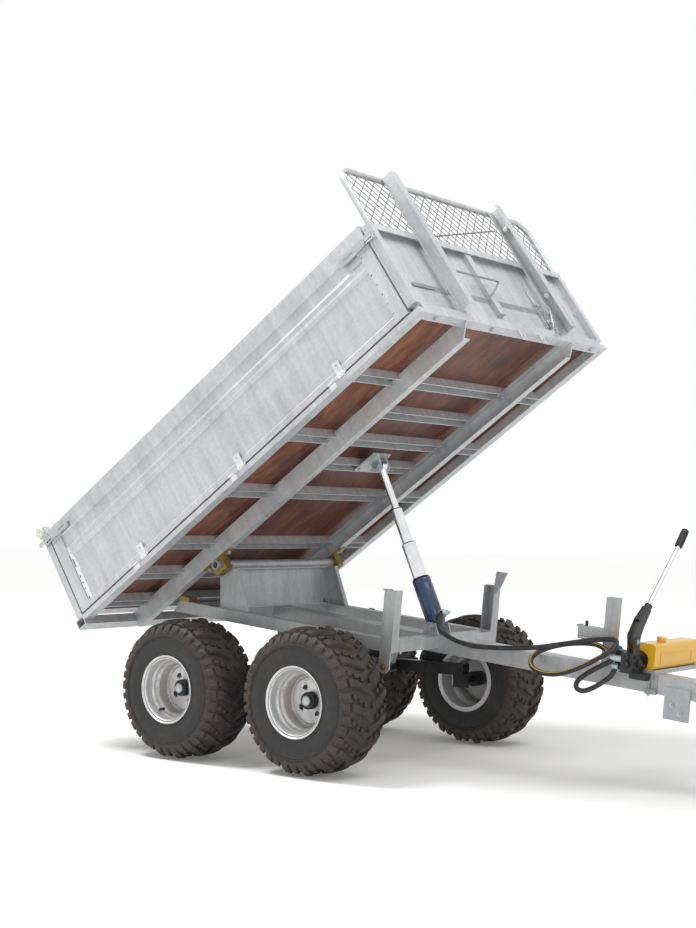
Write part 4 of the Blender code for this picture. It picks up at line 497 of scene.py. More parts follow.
def plastic(name, colour, shade, roughness):
    """Coloured plastic with a little dust."""
    recipe = Recipe(name)
    place = recipe.place()
    fine = recipe.noise(place, 60, 5)
    film = recipe.spread(recipe.noise(place, 20, 6), 0.52, 0.8) * 0.35
    recipe.set(
        Base_Color=recipe.blend(film, recipe.blend(fine, shade, colour), (0.3, 0.25, 0.19)),
        Roughness=roughness + fine * 0.15,
        Normal=recipe.relief(fine, 0.08, 0.0006),
    )
    return recipe.material


def weld_metal(name):
    """Grained weld metal under zinc."""
    recipe = Recipe(name)
    place = recipe.place()
    fine = recipe.noise(place, 160, 5, 0.7)
    recipe.set(
        Base_Color=recipe.blend(fine, (0.34, 0.345, 0.35), (0.66, 0.67, 0.68)), Metallic=0.6,
        Roughness=0.4 + fine * 0.3, Normal=recipe.relief(fine, 0.4, 0.001),
    )
    return recipe.material


# Finishes: a material and the slot of the record that it belongs to

BED_ZINC = (galvanised("bed_zinc", 1.12, 0.14, BED), "galvanised")
# A brighter, cleaner copy of the bed's zinc: painted highlight on the sides' folds, also worn by the hinge
# leaves, rail tabs and hinge rivets.
CLEAN_ZINC_AND_HIGHLIGHT = (galvanised("clean_zinc_and_highlight", 1.5, 0.05, BED), "galvanised")
# Duller zinc on the bent rod and the clamp, also used as painted shade in the headboard's groove and the
# latch grips' slots.
DULL_ZINC_AND_SHADE = (galvanised("dull_zinc_and_shade", 0.62, 0.3, BED), "bright_zinc")
WIRE_ZINC = (galvanised("wire_zinc", 0.42, 0.2, BED), "galvanised")
CHASSIS_ZINC = (galvanised("chassis_zinc", 0.86, 0.3, CHASSIS), "galvanised")
BLACK_STEEL = (black_paint("black_paint", 0.4), "black_steel")
CASTING = (black_paint("pump_iron", 0.22), "pump_iron")
YELLOW_ZINC = (zinc_plate("zinc_yellow", (0.2, 0.13, 0.045), (0.5, 0.37, 0.13), 0.34), "zinc_yellow")
BRIGHT_ZINC = (zinc_plate("bright_zinc", (0.3, 0.34, 0.35), (0.62, 0.66, 0.67), 0.3), "bright_zinc")
BARREL_BLUE = (enamel("barrel_blue", (0.022, 0.06, 0.145), (0.01, 0.03, 0.08), 0.26), "barrel_blue")
TANK_YELLOW = (enamel("tank_yellow", (0.86, 0.5, 0.012), (0.66, 0.35, 0.01), 0.28), "tank_yellow")
CHROME = (hard_chrome("chrome"), "chrome")
WOOD = (hardwood("hardwood"), "hardwood")
WHITE_PLASTIC = (plastic("white_plastic", (0.78, 0.78, 0.75), (0.62, 0.61, 0.57), 0.4), "bright_zinc")
BLUE_PLASTIC = (plastic("blue_plastic", (0.02, 0.14, 0.5), (0.015, 0.09, 0.34), 0.3), "tank_yellow")
WELD = (weld_metal("weld_metal"), "galvanised")
# The darker zinc used as the painted shade of the headboard's groove.
GROOVE_SHADE = (DULL_ZINC_AND_SHADE[0], "galvanised")
BLACK_RUBBER = (BLACK_STEEL[0], "hose_rubber")
# Black paint laid on the sides' slots as their painted shade.
SLOT_SHADE = (BLACK_STEEL[0], "galvanised")

# Homes: the axes that a piece is drawn in and the body that carries it
ON_BED = (BED, "bed")
ON_GATE = (BED, "tailgate")
ON_CHASSIS = (CHASSIS, "chassis")
SIDES = (-1, 1)
MIDDLE = (0, 0, 0)


# Forms: corners and faces in a piece's own axes

def slab(x, y, z):
    """A block between two places along each axis."""
    (x0, x1), (y0, y1), (z0, z1) = sorted(x), sorted(y), sorted(z)
    corners = [(a, b, c) for c in (z0, z1) for a, b in ((x0, y0), (x1, y0), (x1, y1), (x0, y1))]
    faces = [(3, 2, 1, 0), (4, 5, 6, 7)]
    faces += [(i, (i + 1) % 4, 4 + (i + 1) % 4, 4 + i) for i in range(4)]
    return corners, faces


def plate(outline, low, high, along=0):
    """A flat outline with thickness, along x (0) or y (1)."""
    def place(a, b, level):
        return (level, a, b) if along == 0 else (a, level, b)
    count = len(outline)
    corners = [place(a, b, low) for a, b in outline] + [place(a, b, high) for a, b in outline]
    faces = [tuple(reversed(range(count))), tuple(range(count, count * 2))]
    faces += [(i, (i + 1) % count, count + (i + 1) % count, count + i) for i in range(count)]
    return corners, faces


def turned(profile, centre, axis, steps=32):
    """A turned form from a closed profile of (radius, distance along the axis)."""
    axis = Vector(axis).normalized()
    side = axis.orthogonal().normalized()
    other = axis.cross(side)
    corners, rings, faces = [], [], []
    for radius, distance in profile:
        ring = []
        for i in range(steps if radius else 1):
            turn = math.tau * i / steps
            spoke = side * math.cos(turn) + other * math.sin(turn)
            ring.append(len(corners))
            corners.append(Vector(centre) + axis * distance + spoke * radius)
        rings.append(ring if radius else ring * steps)
    for near, far in zip(rings, rings[1:] + rings[:1]):
        for i in range(steps):
            j = (i + 1) % steps
            face = list(dict.fromkeys((near[i], near[j], far[j], far[i])))
            if len(face) > 2:
                faces.append(tuple(face))
    return corners, faces


def rod(start, end, radius, steps=16):
    """A round bar with lightly broken ends."""
    start, end = Vector(start), Vector(end)
    reach = (end - start).length
    cut = radius * 0.15
    near_end = [(0, 0), (radius - cut, 0), (radius, cut)]
    profile = near_end + [(r, reach - distance) for r, distance in reversed(near_end)]
    return turned(profile, start, end - start, steps)


def washer(inner, outer, thickness):
    """The profile of a flat ring."""
    return [(inner, 0), (outer, 0), (outer, thickness), (inner, thickness)]


def swept(path, radius, sides=12):
    """A round bar bent along a path."""
    path = [Vector(point) for point in path]
    corners, faces = [], []
    side = None
    for i, point in enumerate(path):
        along = (path[min(i + 1, len(path) - 1)] - path[max(i - 1, 0)]).normalized()
        side = along.orthogonal() if side is None else side - along * side.dot(along)
        side.normalize()
        other = along.cross(side)
        for k in range(sides):
            turn = math.tau * k / sides
            corners.append(point + (side * math.cos(turn) + other * math.sin(turn)) * radius)
    for i in range(len(path) - 1):
        for k in range(sides):
            j = (k + 1) % sides
            faces.append((i * sides + k, i * sides + j, (i + 1) * sides + j, (i + 1) * sides + k))
    faces.append(tuple(reversed(range(sides))))
    faces.append(tuple(range(len(corners) - sides, len(corners))))
    return corners, faces


def running_lengths(points):
    """How far along its path each point lies."""
    runs = [0]
    for near, far in zip(points, points[1:]):
        runs.append(runs[-1] + (far - near).length)
    return runs


def smooth_path(route, spacing=0.006):
    """Evenly spaced points of a smooth curve through a route's own points."""
    route = [Vector(point) for point in route]
    padded = [route[0] * 2 - route[1]] + route + [route[-1] * 2 - route[-2]]
    fine = []
    for a, b, c, d in zip(padded, padded[1:], padded[2:], padded[3:]):
        for i in range(CURVE_STEPS):
            t = i / CURVE_STEPS
            square = (a * 2 - b * 5 + c * 4 - d) * t ** 2
            cube = (b * 3 - a - c * 3 + d) * t ** 3
            fine.append((b * 2 + (c - a) * t + square + cube) / 2)
    fine.append(route[-1])
    runs = running_lengths(fine)
    count = max(2, round(runs[-1] / spacing))
    points, place = [], 0
    for i in range(count + 1):
        wanted = runs[-1] * i / count
        while place < len(runs) - 2 and runs[place + 1] < wanted:
            place += 1
        share = (wanted - runs[place]) / (runs[place + 1] - runs[place])
        points.append(fine[place].lerp(fine[place + 1], share))
    return points


def mesh_from(name, forms, axes):
    """One mesh of all the forms, with its faces turned outwards."""
    work = bmesh.new()
    for corners, faces in forms:
        made = [work.verts.new(axes @ Vector(corner)) for corner in corners]
        for face in faces:
            work.faces.new([made[i] for i in face])
    bmesh.ops.recalc_face_normals(work, faces=work.faces)
    mesh = bpy.data.meshes.new(name)
    work.to_mesh(mesh)
    work.free()
    mesh.shade_smooth()
    mesh.set_sharp_from_angle(angle=SHARP_EDGE)
    return mesh


def finished(name, mesh, body, finish, bevel=0, instead=None):
    """An object that rides on a body and wears the material of its finish."""
    material, slot = finish
    made = bpy.data.objects.new(name, mesh)
    bpy.context.scene.collection.objects.link(made)
    mesh.materials.clear()
    mesh.materials.append(material)
    if bevel:
        edge = made.modifiers.new("edges", "BEVEL")
        edge.width = bevel
        edge.segments = 2
        edge.limit_method = "ANGLE"
        edge.harden_normals = True
    if body:
        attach(made, body)
    if instead:
        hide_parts(instead)
    return made


def piece(name, forms, home, finish, bevel=0, instead=None):
    """A finished piece made of forms."""
    axes, body = home
    return finished(name, mesh_from(name, forms, axes), body, finish, bevel, instead)


# Repeats, made with Geometry Nodes

def add_node(tree, kind, settings, inputs, output=0):
    """Adds a node, sets it, feeds its inputs with values or sockets, and gives one of its outputs."""
    made = tree.nodes.new(kind)
    for key, value in settings.items():
        setattr(made, key, value)
    for key, value in inputs.items():
        if isinstance(value, bpy.types.NodeSocket):
            tree.links.new(value, made.inputs[key])
        else:
            made.inputs[key].default_value = value
    return made.outputs[output]


def add_maths(tree, operation, first, second):
    """A sum of two values or sockets."""
    return add_node(tree, "ShaderNodeMath", {"operation": operation}, {0: first, 1: second})


def new_tree(name, sizes):
    """A geometry tree with named number inputs, and the sockets that give them."""
    tree = bpy.data.node_groups.new(name, "GeometryNodeTree")
    tree.interface.new_socket("Geometry", in_out="INPUT", socket_type="NodeSocketGeometry")
    for key, value in sizes.items():
        kind = "NodeSocketInt" if isinstance(value, int) else "NodeSocketFloat"
        tree.interface.new_socket(key, in_out="INPUT", socket_type=kind).default_value = value
    tree.interface.new_socket("Finish", in_out="INPUT", socket_type="NodeSocketMaterial")
    tree.interface.new_socket("Geometry", in_out="OUTPUT", socket_type="NodeSocketGeometry")
    return tree, tree.nodes.new("NodeGroupInput").outputs


def end_tree(tree, given, geometry):
    """Ends a tree in real geometry with its finish set."""
    real = add_node(tree, "GeometryNodeRealizeInstances", {}, {0: geometry})
    dressed = add_node(tree, "GeometryNodeSetMaterial", {}, {"Geometry": real, "Material": given["Finish"]})
    tree.links.new(dressed, tree.nodes.new("NodeGroupOutput").inputs[0])
    return tree


def bolt_tree():
    """A head, a washer and a thread end on each point, standing along its facing vector."""
    tree, given = new_tree("bolts", {"Radius": 0.008, "Height": 0.006, "Sides": 6, "Thread": 0.004})
    shapes = []
    for sides, radius_share, height_share, longer in (
        (given["Sides"], 1.0, 1.0, 0.0), (20, 1.3, 0.22, 0.0), (12, 0.5, 1.0, given["Thread"]),
    ):
        radius = add_maths(tree, "MULTIPLY", given["Radius"], radius_share)
        depth = add_maths(tree, "ADD", add_maths(tree, "MULTIPLY", given["Height"], height_share), longer)
        shape = add_node(
            tree, "GeometryNodeMeshCylinder", {}, {"Vertices": sides, "Radius": radius, "Depth": depth},
        )
        rise = add_node(tree, "ShaderNodeCombineXYZ", {}, {"Z": add_maths(tree, "MULTIPLY", depth, 0.5)})
        shapes.append(add_node(tree, "GeometryNodeTransform", {}, {"Geometry": shape, "Translation": rise}))
    join = tree.nodes.new("GeometryNodeJoinGeometry")
    for shape in shapes:
        tree.links.new(shape, join.inputs[0])
    vectors = {"data_type": "FLOAT_VECTOR"}
    facing = add_node(tree, "GeometryNodeInputNamedAttribute", vectors, {"Name": "facing"}, "Attribute")
    turn = add_node(tree, "FunctionNodeAlignRotationToVector", {"axis": "Z"}, {"Vector": facing}, "Rotation")
    spots = {"Points": given["Geometry"], "Instance": join.outputs[0], "Rotation": turn}
    return end_tree(tree, given, add_node(tree, "GeometryNodeInstanceOnPoints", {}, spots))


def wire_tree():
    """Round wire along every edge."""
    tree, given = new_tree("wires", {"Radius": 0.002, "Sides": 6})
    line = add_node(tree, "GeometryNodeMeshToCurve", {}, {"Mesh": given["Geometry"]})
    round_section = {"Resolution": given["Sides"], "Radius": given["Radius"]}
    ring = add_node(tree, "GeometryNodeCurvePrimitiveCircle", {}, round_section)
    tube = {"Fill Caps": True, "Curve": line, "Profile Curve": ring}
    return end_tree(tree, given, add_node(tree, "GeometryNodeCurveToMesh", {}, tube))


def weld_tree():
    """A run of overlapping, slightly uneven beads along every edge."""
    tree, given = new_tree("welds", {"Radius": 0.004, "Step": 0.004, "Seed": 3})
    line = add_node(tree, "GeometryNodeMeshToCurve", {}, {"Mesh": given["Geometry"]})
    spacing = {"Curve": line, "Length": given["Step"]}
    spots = add_node(tree, "GeometryNodeCurveToPoints", {"mode": "LENGTH"}, spacing, "Points")
    ball = {"Segments": 8, "Rings": 5, "Radius": given["Radius"]}
    bead = add_node(tree, "GeometryNodeMeshUVSphere", {}, ball, "Mesh")
    uneven = tree.nodes.new("FunctionNodeRandomValue")
    uneven.data_type = "FLOAT"
    numbers = [socket for socket in uneven.inputs if socket.enabled and socket.type == "VALUE"]
    numbers[0].default_value = 0.75
    numbers[1].default_value = 1.2
    tree.links.new(given["Seed"], uneven.inputs["Seed"])
    scale = [socket for socket in uneven.outputs if socket.enabled][0]
    beads = {"Points": spots, "Instance": bead, "Scale": scale}
    return end_tree(tree, given, add_node(tree, "GeometryNodeInstanceOnPoints", {}, beads))


BOLTS = bolt_tree()
WIRES = wire_tree()
WELDS = weld_tree()


def grown(name, mesh, tree, sizes, body, finish, instead=None):
    """Runs a tree on a mesh and keeps the result as one plain piece on one body."""
    seed = bpy.data.objects.new(name + "_seed", mesh)
    bpy.context.scene.collection.objects.link(seed)
    growth = seed.modifiers.new("growth", "NODES")
    growth.node_group = tree
    values = {**sizes, "Finish": finish[0]}
    for item in tree.interface.items_tree:
        if item.item_type == "SOCKET" and item.in_out == "INPUT" and item.name in values:
            growth[item.identifier] = values[item.name]
    bpy.context.view_layer.update()
    graph = bpy.context.evaluated_depsgraph_get()
    result = bpy.data.meshes.new_from_object(seed.evaluated_get(graph))
    seed.modifiers.remove(growth)
    bpy.data.objects.remove(seed, do_unlink=True)
    result.name = name
    return finished(name, result, body, finish, 0, instead)


def bolts(name, places, home, radius, height, sides=6, thread=0.004, finish=BRIGHT_ZINC):
    """Bolts at (place, facing) pairs in a home's axes."""
    axes, body = home
    mesh = bpy.data.meshes.new(name)
    mesh.from_pydata([axes @ Vector(place) for place, facing in places], [], [])
    facings = mesh.attributes.new("facing", "FLOAT_VECTOR", "POINT")
    for i, (place, facing) in enumerate(places):
        facings.data[i].vector = axes.to_3x3() @ Vector(facing)
    sizes = {"Radius": radius, "Height": height, "Sides": sides, "Thread": thread}
    grown(name, mesh, BOLTS, sizes, body, finish)


def rivets(name, places, home, radius, height, finish, sides=16):
    """Round heads with no thread end."""
    bolts(name, places, home, radius, height, sides, 0.0, finish)


def welds(name, runs, home, radius):
    """Weld beads along runs of points in a home's axes."""
    axes, body = home
    corners, edges = [], []
    for run in runs:
        start = len(corners)
        corners += [axes @ Vector(point) for point in run]
        edges += [(i, i + 1) for i in range(start, len(corners) - 1)]
    mesh = bpy.data.meshes.new(name)
    mesh.from_pydata(corners, edges, [])
    grown(name, mesh, WELDS, {"Radius": radius, "Step": radius * 0.9, "Seed": len(runs)}, body, WELD)


# Straight runs of points along one axis, for weld beads

def run_along(y, z, places):
    return [(x, y, z) for x in places]


def run_across(x, z, places):
    return [(x, y, z) for y in places]


def run_up(x, y, places):
    return [(x, y, z) for z in places]


# Hoses

def hose(name, start, lead_in, route, lead_out, end, node, striped):
    """A hose tube with its run kept as a map, straight for a short way at both fittings."""
    inner = smooth_path([lead_in, *route, lead_out], HOSE_DIAMETER * 0.55)
    points = [CHASSIS @ Vector(point) for point in [start, *inner, end]]
    tube = swept(points, HOSE_DIAMETER / 2, HOSE_SIDES)
    made = piece(name, [tube], (ROW, None), (hose_rubber(name, striped), "hose_rubber"), instead=node)
    runs = running_lengths(points)
    layer = made.data.uv_layers.new(name="along")
    for face in made.data.polygons:
        rings = [made.data.loops[i].vertex_index for i in face.loop_indices]
        turns = [(corner % HOSE_SIDES) / HOSE_SIDES for corner in rings]
        wraps = max(turns) - min(turns) > 0.5 and len(rings) == 4
        for i, corner, turn in zip(face.loop_indices, rings, turns):
            layer.data[i].uv = (turn + 1 if wraps and turn < 0.5 else turn, runs[corner // HOSE_SIDES])
    return made, points


def collar(name, points, body):
    """The ribbed collar that is pressed on the end of a hose that the points start from."""
    radius = HOSE_DIAMETER / 2
    profile = [(radius * 0.9, 0), (radius * 1.2, 0.0005), (radius * 1.28, 0.003)]
    for rib in range(3):
        base = 0.004 + rib * 0.006
        profile += [(radius * 1.28, base), (radius * 1.16, base + 0.0015)]
        profile += [(radius * 1.16, base + 0.0035), (radius * 1.28, base + 0.005)]
    profile += [(radius * 1.2, 0.024), (radius * 0.9, 0.0245)]
    return piece(name, [turned(profile, points[0], points[1] - points[0], 24)], (ROW, body), BRIGHT_ZINC)


def declare_cord(points):
    """Works out the length of a hose along its points, and keeps nothing of it."""
    running_lengths(points)[-1]


def hoses():
    """The pressure hose from the lift's port to the pump, and the short loop under the pump."""
    outlet = CHASSIS.inverted() @ LIFT @ Vector(PORT_END)
    inlet, ferrule, union = Vector(INLET_END), Vector(FERRULE_END), Vector(UNION_END)
    lead = Vector((HOSE_LEAD, 0, 0))
    beside = outlet - Vector((0, HOSE_LEAD, 0))
    line, points = hose("lift_hose", outlet, beside, LIFT_HOSE_ROUTE, inlet - lead, inlet, "hose_line", True)
    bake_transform(line)
    collars = [collar("port_crimp", points, "lift_barrel"), collar("inlet_crimp", points[::-1], "chassis")]
    declare_cord(points)
    loop, points = hose(
        "loop_hose", ferrule, ferrule - lead, LOOP_HOSE_ROUTE, union - lead, union, "hose_loop", False,
    )
    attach(loop, "chassis")
    collars = [collar("loop_crimp", points, "chassis"), collar("union_crimp", points[::-1], "chassis")]
    declare_cord(points)


# Wheels: the carcass as (share of half the width, radius), and the rim as (radius, place along the axle)

CARCASS_PROFILE = (
    (0.0, 0.269), (0.18, 0.2692), (0.36, 0.2682), (0.56, 0.2652), (0.74, 0.2592), (0.86, 0.2505),
    (0.935, 0.2385), (0.968, 0.2275), (0.966, 0.2215), (0.984, 0.2205), (0.99, 0.2185), (0.986, 0.2165),
    (0.97, 0.2155), (0.972, 0.2125), (0.981, 0.211), (0.976, 0.209), (0.968, 0.208), (0.974, 0.196),
    (0.976, 0.184), (0.968, 0.172), (0.95, 0.16), (0.94, 0.153), (0.944, 0.1505), (0.938, 0.148),
    (0.931, 0.1445), (0.93, 0.1395),
)
TREAD_POINTS = 8

# The lugs of one pitch: (width share, sweep in pitches) points, widths in pitches, height, share of the top
TREAD_LUGS = (
    (
        ((0.03, -0.5), (0.17, -0.42), (0.33, -0.3), (0.5, -0.15), (0.66, -0.05), (0.78, 0.0)),
        (0.26, 0.27, 0.29, 0.32, 0.36, 0.36), 0.0178, 0.72,
    ),
    (((0.86, 0.0), (0.93, 0.0), (0.962, 0.0), (0.975, 0.0)), (0.36, 0.38, 0.36, 0.32), 0.0155, 0.8),
    (((0.82, 0.5), (0.9, 0.5), (0.95, 0.5), (0.972, 0.5)), (0.3, 0.33, 0.31, 0.26), 0.0142, 0.8),
    (((0.24, 0.04), (0.345, 0.08)), (0.19, 0.19), 0.0135, 0.82),
    (((0.44, 0.2), (0.55, 0.25)), (0.2, 0.2), 0.014, 0.82),
    (((0.63, 0.36), (0.73, 0.42)), (0.2, 0.2), 0.0145, 0.82),
)
LUG_END_SHARE = 0.82
LUG_CHAMFER = 0.16
LUG_RING = 6


def carcass_radius(width):
    """The radius between the lugs at a share of the half width."""
    for (w0, r0), (w1, r1) in zip(CARCASS_PROFILE, CARCASS_PROFILE[1:TREAD_POINTS]):
        if w0 <= width <= w1:
            return r0 + (r1 - r0) * (width - w0) / (w1 - w0)
    return CARCASS_PROFILE[TREAD_POINTS - 1][1]


def lug(path, widths, height, top, side, shift):
    """A tread bar along its path, chamfered along its top and lower at both ends."""
    pitch = math.tau / TREAD_PITCHES
    corners, faces = [], []
    last = len(path) - 1
    for i, ((width, sweep), wide) in enumerate(zip(path, widths)):
        base = carcass_radius(width)
        crown = min(TYRE_RADIUS - 0.0002, base + height * (0.88 if width > 0.9 else 1.0))
        lowered = (1 - LUG_END_SHARE) * height if i in (0, last) else 0.0
        foot, crown_radius, edge = base - LUG_SINK, crown - lowered, crown - height * LUG_CHAMFER - lowered
        for share, radius in (
            (-0.5, foot), (-(1 + top) / 4, edge), (-top / 2, crown_radius),
            (top / 2, crown_radius), ((1 + top) / 4, edge), (0.5, foot),
        ):
            turn = (shift + sweep + share * wide) * pitch - math.pi / 2
            corners.append((radius * math.cos(turn), side * TYRE_HALF_WIDTH * width, radius * math.sin(turn)))
    for start in range(0, last * LUG_RING, LUG_RING):
        for k in range(LUG_RING):
            j = (k + 1) % LUG_RING
            faces.append((start + k, start + j, start + LUG_RING + j, start + LUG_RING + k))
    faces += [tuple(range(LUG_RING)), tuple(range(last * LUG_RING, (last + 1) * LUG_RING))]
    return corners, faces


def tyre(body, centre):
    """The carcass with curved bars, paired knobs and shoulder blocks, in two staggered halves."""
    half = [(radius, TYRE_HALF_WIDTH * width) for width, radius in CARCASS_PROFILE]
    inside = [(BEAD_RADIUS, TYRE_HALF_WIDTH * 0.93), (BEAD_RADIUS, -TYRE_HALF_WIDTH * 0.93)]
    profile = [(r, -w) for r, w in reversed(half)] + half[1:] + inside
    forms = [turned(profile, MIDDLE, (0, 1, 0), 108)]
    for side, stagger in ((1, 0.0), (-1, 0.5)):
        for count in range(TREAD_PITCHES):
            for path, widths, height, top in TREAD_LUGS:
                forms.append(lug(path, widths, height, top, side, count + stagger))
    finish = (tyre_rubber(body + "_tread", centre), "tyre_rubber")
    piece(body + "_tread", forms, (Matrix.Translation(centre), body), finish, instead=body + "_tyre")


RIM_PROFILE = (
    (0.1385, 0.1245), (0.1392, 0.1262), (0.1388, 0.128), (0.1372, 0.1288), (0.1352, 0.1284),
    (0.1335, 0.1262), (0.1302, 0.1234), (0.1258, 0.1222), (0.1238, 0.1196), (0.1228, 0.114), (0.1222, 0.093),
    (0.1205, 0.0865), (0.1162, 0.0805), (0.1142, 0.0765), (0.1136, 0.0705), (0.1098, 0.0655),
    (0.1048, 0.0615), (0.1028, 0.0565), (0.1018, 0.034), (0.1, 0.021), (0.0955, 0.0165), (0.0905, 0.0185),
    (0.087, 0.0212), (0.07, 0.0205), (0.05, 0.0185), (0.0345, 0.0175), (0.0345, 0.012), (0.0995, 0.012),
    (0.1058, 0.02), (0.1058, -0.035), (0.1268, -0.051), (0.1268, -0.124), (0.1385, -0.1245),
    (0.1388, -0.1275), (0.134, -0.1286), (0.1195, -0.1286), (0.119, -0.05), (0.11, -0.04), (0.11, 0.053),
    (0.1268, 0.0705), (0.1268, 0.124),
)
HUB_PROFILE = (
    (0.015, -0.06), (0.0335, -0.06), (0.0335, 0.0405), (0.0325, 0.0435), (0.0295, 0.045), (0.0295, 0.0425),
    (0.0225, 0.0425), (0.0225, 0.045), (0.0215, 0.046), (0.0156, 0.046),
)
CAP_PROFILE = (
    (0, 0.0465), (0.021, 0.0465), (0.021, 0.0525), (0.0202, 0.0545),
    *((0.0195 * math.cos(t), 0.0545 + 0.0075 * math.sin(t)) for t in (0.15, 0.45, 0.8, 1.15)),
    (0, 0.062),
)
STUD_SEAT = ((0.0124, 0.0), (0.0162, 0.0), (0.0158, 0.0012), (0.0143, 0.0022), (0.0126, 0.0014))
STUD_WELL = (
    (0, 0), (0.0125, 0), (0.0125, 0.0006), (0.0065, 0.0006), (0.0065, 0.0026), (0.0055, 0.0034), (0, 0.0034),
)
VALVE_PROFILE = (
    (0, -0.002), (0.0062, -0.002), (0.0056, 0.006), (0.0036, 0.009), (0.0036, 0.018), (0.0043, 0.0185),
    (0.0043, 0.025), (0, 0.026),
)
STUDS = 4
STUD_CIRCLE = 0.06
VALVE_CIRCLE = 0.112


def rim(body, centre, side):
    """The pressed rim, with its hub barrel, domed cap, wheel bolt seats with painted shade in their holes,
    and valve.
    """
    home = (Matrix.Translation(centre), body)
    out = Vector((0, side, 0))
    silver = (wheel_silver(body + "_dish", centre), "rim_silver")
    piece(body + "_dish", [turned(RIM_PROFILE, MIDDLE, out, 72)], home, silver, instead=body + "_rim")
    piece(body + "_hub", [turned(HUB_PROFILE, MIDDLE, out, 40)], home, BLACK_STEEL)
    piece(body + "_cap", [turned(CAP_PROFILE, MIDDLE, out, 40)], home, BRIGHT_ZINC)
    seats, well_shades = [], []
    for count in range(STUDS):
        turn = math.tau * (count + 0.35) / STUDS
        stud = Vector((math.cos(turn), 0, math.sin(turn))) * STUD_CIRCLE
        seats.append(turned(STUD_SEAT, stud + out * 0.0192, out, 28))
        well_shades.append(turned(STUD_WELL, stud + out * 0.0193, out, 28))
    piece(body + "_stud_seats", seats, home, silver)
    # Black discs in the stud holes, with the stud ends: painted shade of the holes.
    piece(body + "_stud_wells", well_shades, home, BLACK_STEEL)
    lean = 4.05 if "rear" in body else -0.75
    stem = Vector((math.cos(lean), 0, math.sin(lean))) * VALVE_CIRCLE
    piece(body + "_valve", [turned(VALVE_PROFILE, stem + out * 0.0675, out, 20)], home, BLACK_STEEL)


def wheels():
    """The four wheels, on the middles of their rims."""
    for end in ("front", "rear"):
        for hand, side in (("right", -1), ("left", 1)):
            body = "wheel_" + end + "_" + hand
            low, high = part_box(body + "_rim")
            centre = Vector(((low.x + high.x) / 2, side * TRACK / 2, AXLE_HEIGHT))
            tyre(body, centre)
            rim(body, centre, side)


# Headboard guard

def bow_path(inset=0.0):
    """The round tube bow in (y, n), with rounded upper corners."""
    half = BED_HALF_WIDTH - GUARD_TUBE * 2 - inset
    top = GUARD_TOP - GUARD_TUBE - inset
    radius = GUARD_CORNER - inset
    points = []
    for i in range(13):
        turn = math.pi / 2 * i / 12
        points.append((half - radius + radius * math.cos(turn), top - radius + radius * math.sin(turn)))
    low = HEADBOARD_TOP + 0.0003
    return [(half, low)] + points + [(-y, n) for y, n in reversed(points)] + [(-half, low)]


def clipped_line(start, end, fence):
    """The part of a line inside a convex fence, or nothing."""
    enter, leave = 0.0, 1.0
    dy, dn = end[0] - start[0], end[1] - start[1]
    for (ay, an), (by, bn) in zip(fence, fence[1:] + fence[:1]):
        out_y, out_n = bn - an, ay - by
        ahead = out_y * dy + out_n * dn
        gap = out_y * (ay - start[0]) + out_n * (an - start[1])
        if abs(ahead) < 1e-12:
            if gap < 0:
                return None
            continue
        if ahead > 0:
            leave = min(leave, gap / ahead)
        else:
            enter = max(enter, gap / ahead)
    if leave - enter < 1e-4:
        return None
    return [(start[0] + dy * t, start[1] + dn * t) for t in (enter, leave)]


def guard():
    """The tube bow, the fine diamond wire inside it and the twisted seam across the wire."""
    path = [(GUARD_PLANE, y, n) for y, n in bow_path()]
    piece("guard_bow", [swept(path, GUARD_TUBE, 20)], ON_BED, BED_ZINC, instead="mesh_frame")
    fence = bow_path(GUARD_TUBE * 0.8)
    rise = WIRE_TALL / WIRE_LONG
    reach = BED_HALF_WIDTH + 1.0
    corners, edges = [], []
    lines = int(reach * 2 / WIRE_LONG)
    for layer, slope in ((-1, rise), (1, -rise)):
        level = GUARD_PLANE + layer * WIRE_RADIUS * 0.6
        for i in range(-lines, lines + 1):
            offset = i * WIRE_LONG
            start = (offset - reach, HEADBOARD_TOP - slope * reach)
            end = (offset + reach, HEADBOARD_TOP + slope * reach)
            kept = clipped_line(start, end, fence)
            if kept:
                edges.append((len(corners), len(corners) + 1))
                corners += [BED @ Vector((level, y, n)) for y, n in kept]
    mesh = bpy.data.meshes.new("guard_wire")
    mesh.from_pydata(corners, edges, [])
    grown("guard_wire", mesh, WIRES, {"Radius": WIRE_RADIUS, "Sides": 6}, "bed", WIRE_ZINC, "guard_mesh")
    strands = []
    for phase in (0, math.pi):
        path = []
        for i in range(61):
            share = i / 60
            twist = phase + share * math.tau * SEAM_TURNS
            middle = Vector((GUARD_PLANE, -0.28 + 0.64 * share, 0.452 + 0.165 * share))
            path.append(middle + Vector((math.cos(twist), 0, math.sin(twist))) * 0.0022)
        strands.append(swept(path, 0.0018, 6))
    piece("guard_seam", strands, ON_BED, WIRE_ZINC)


# Lift cylinder

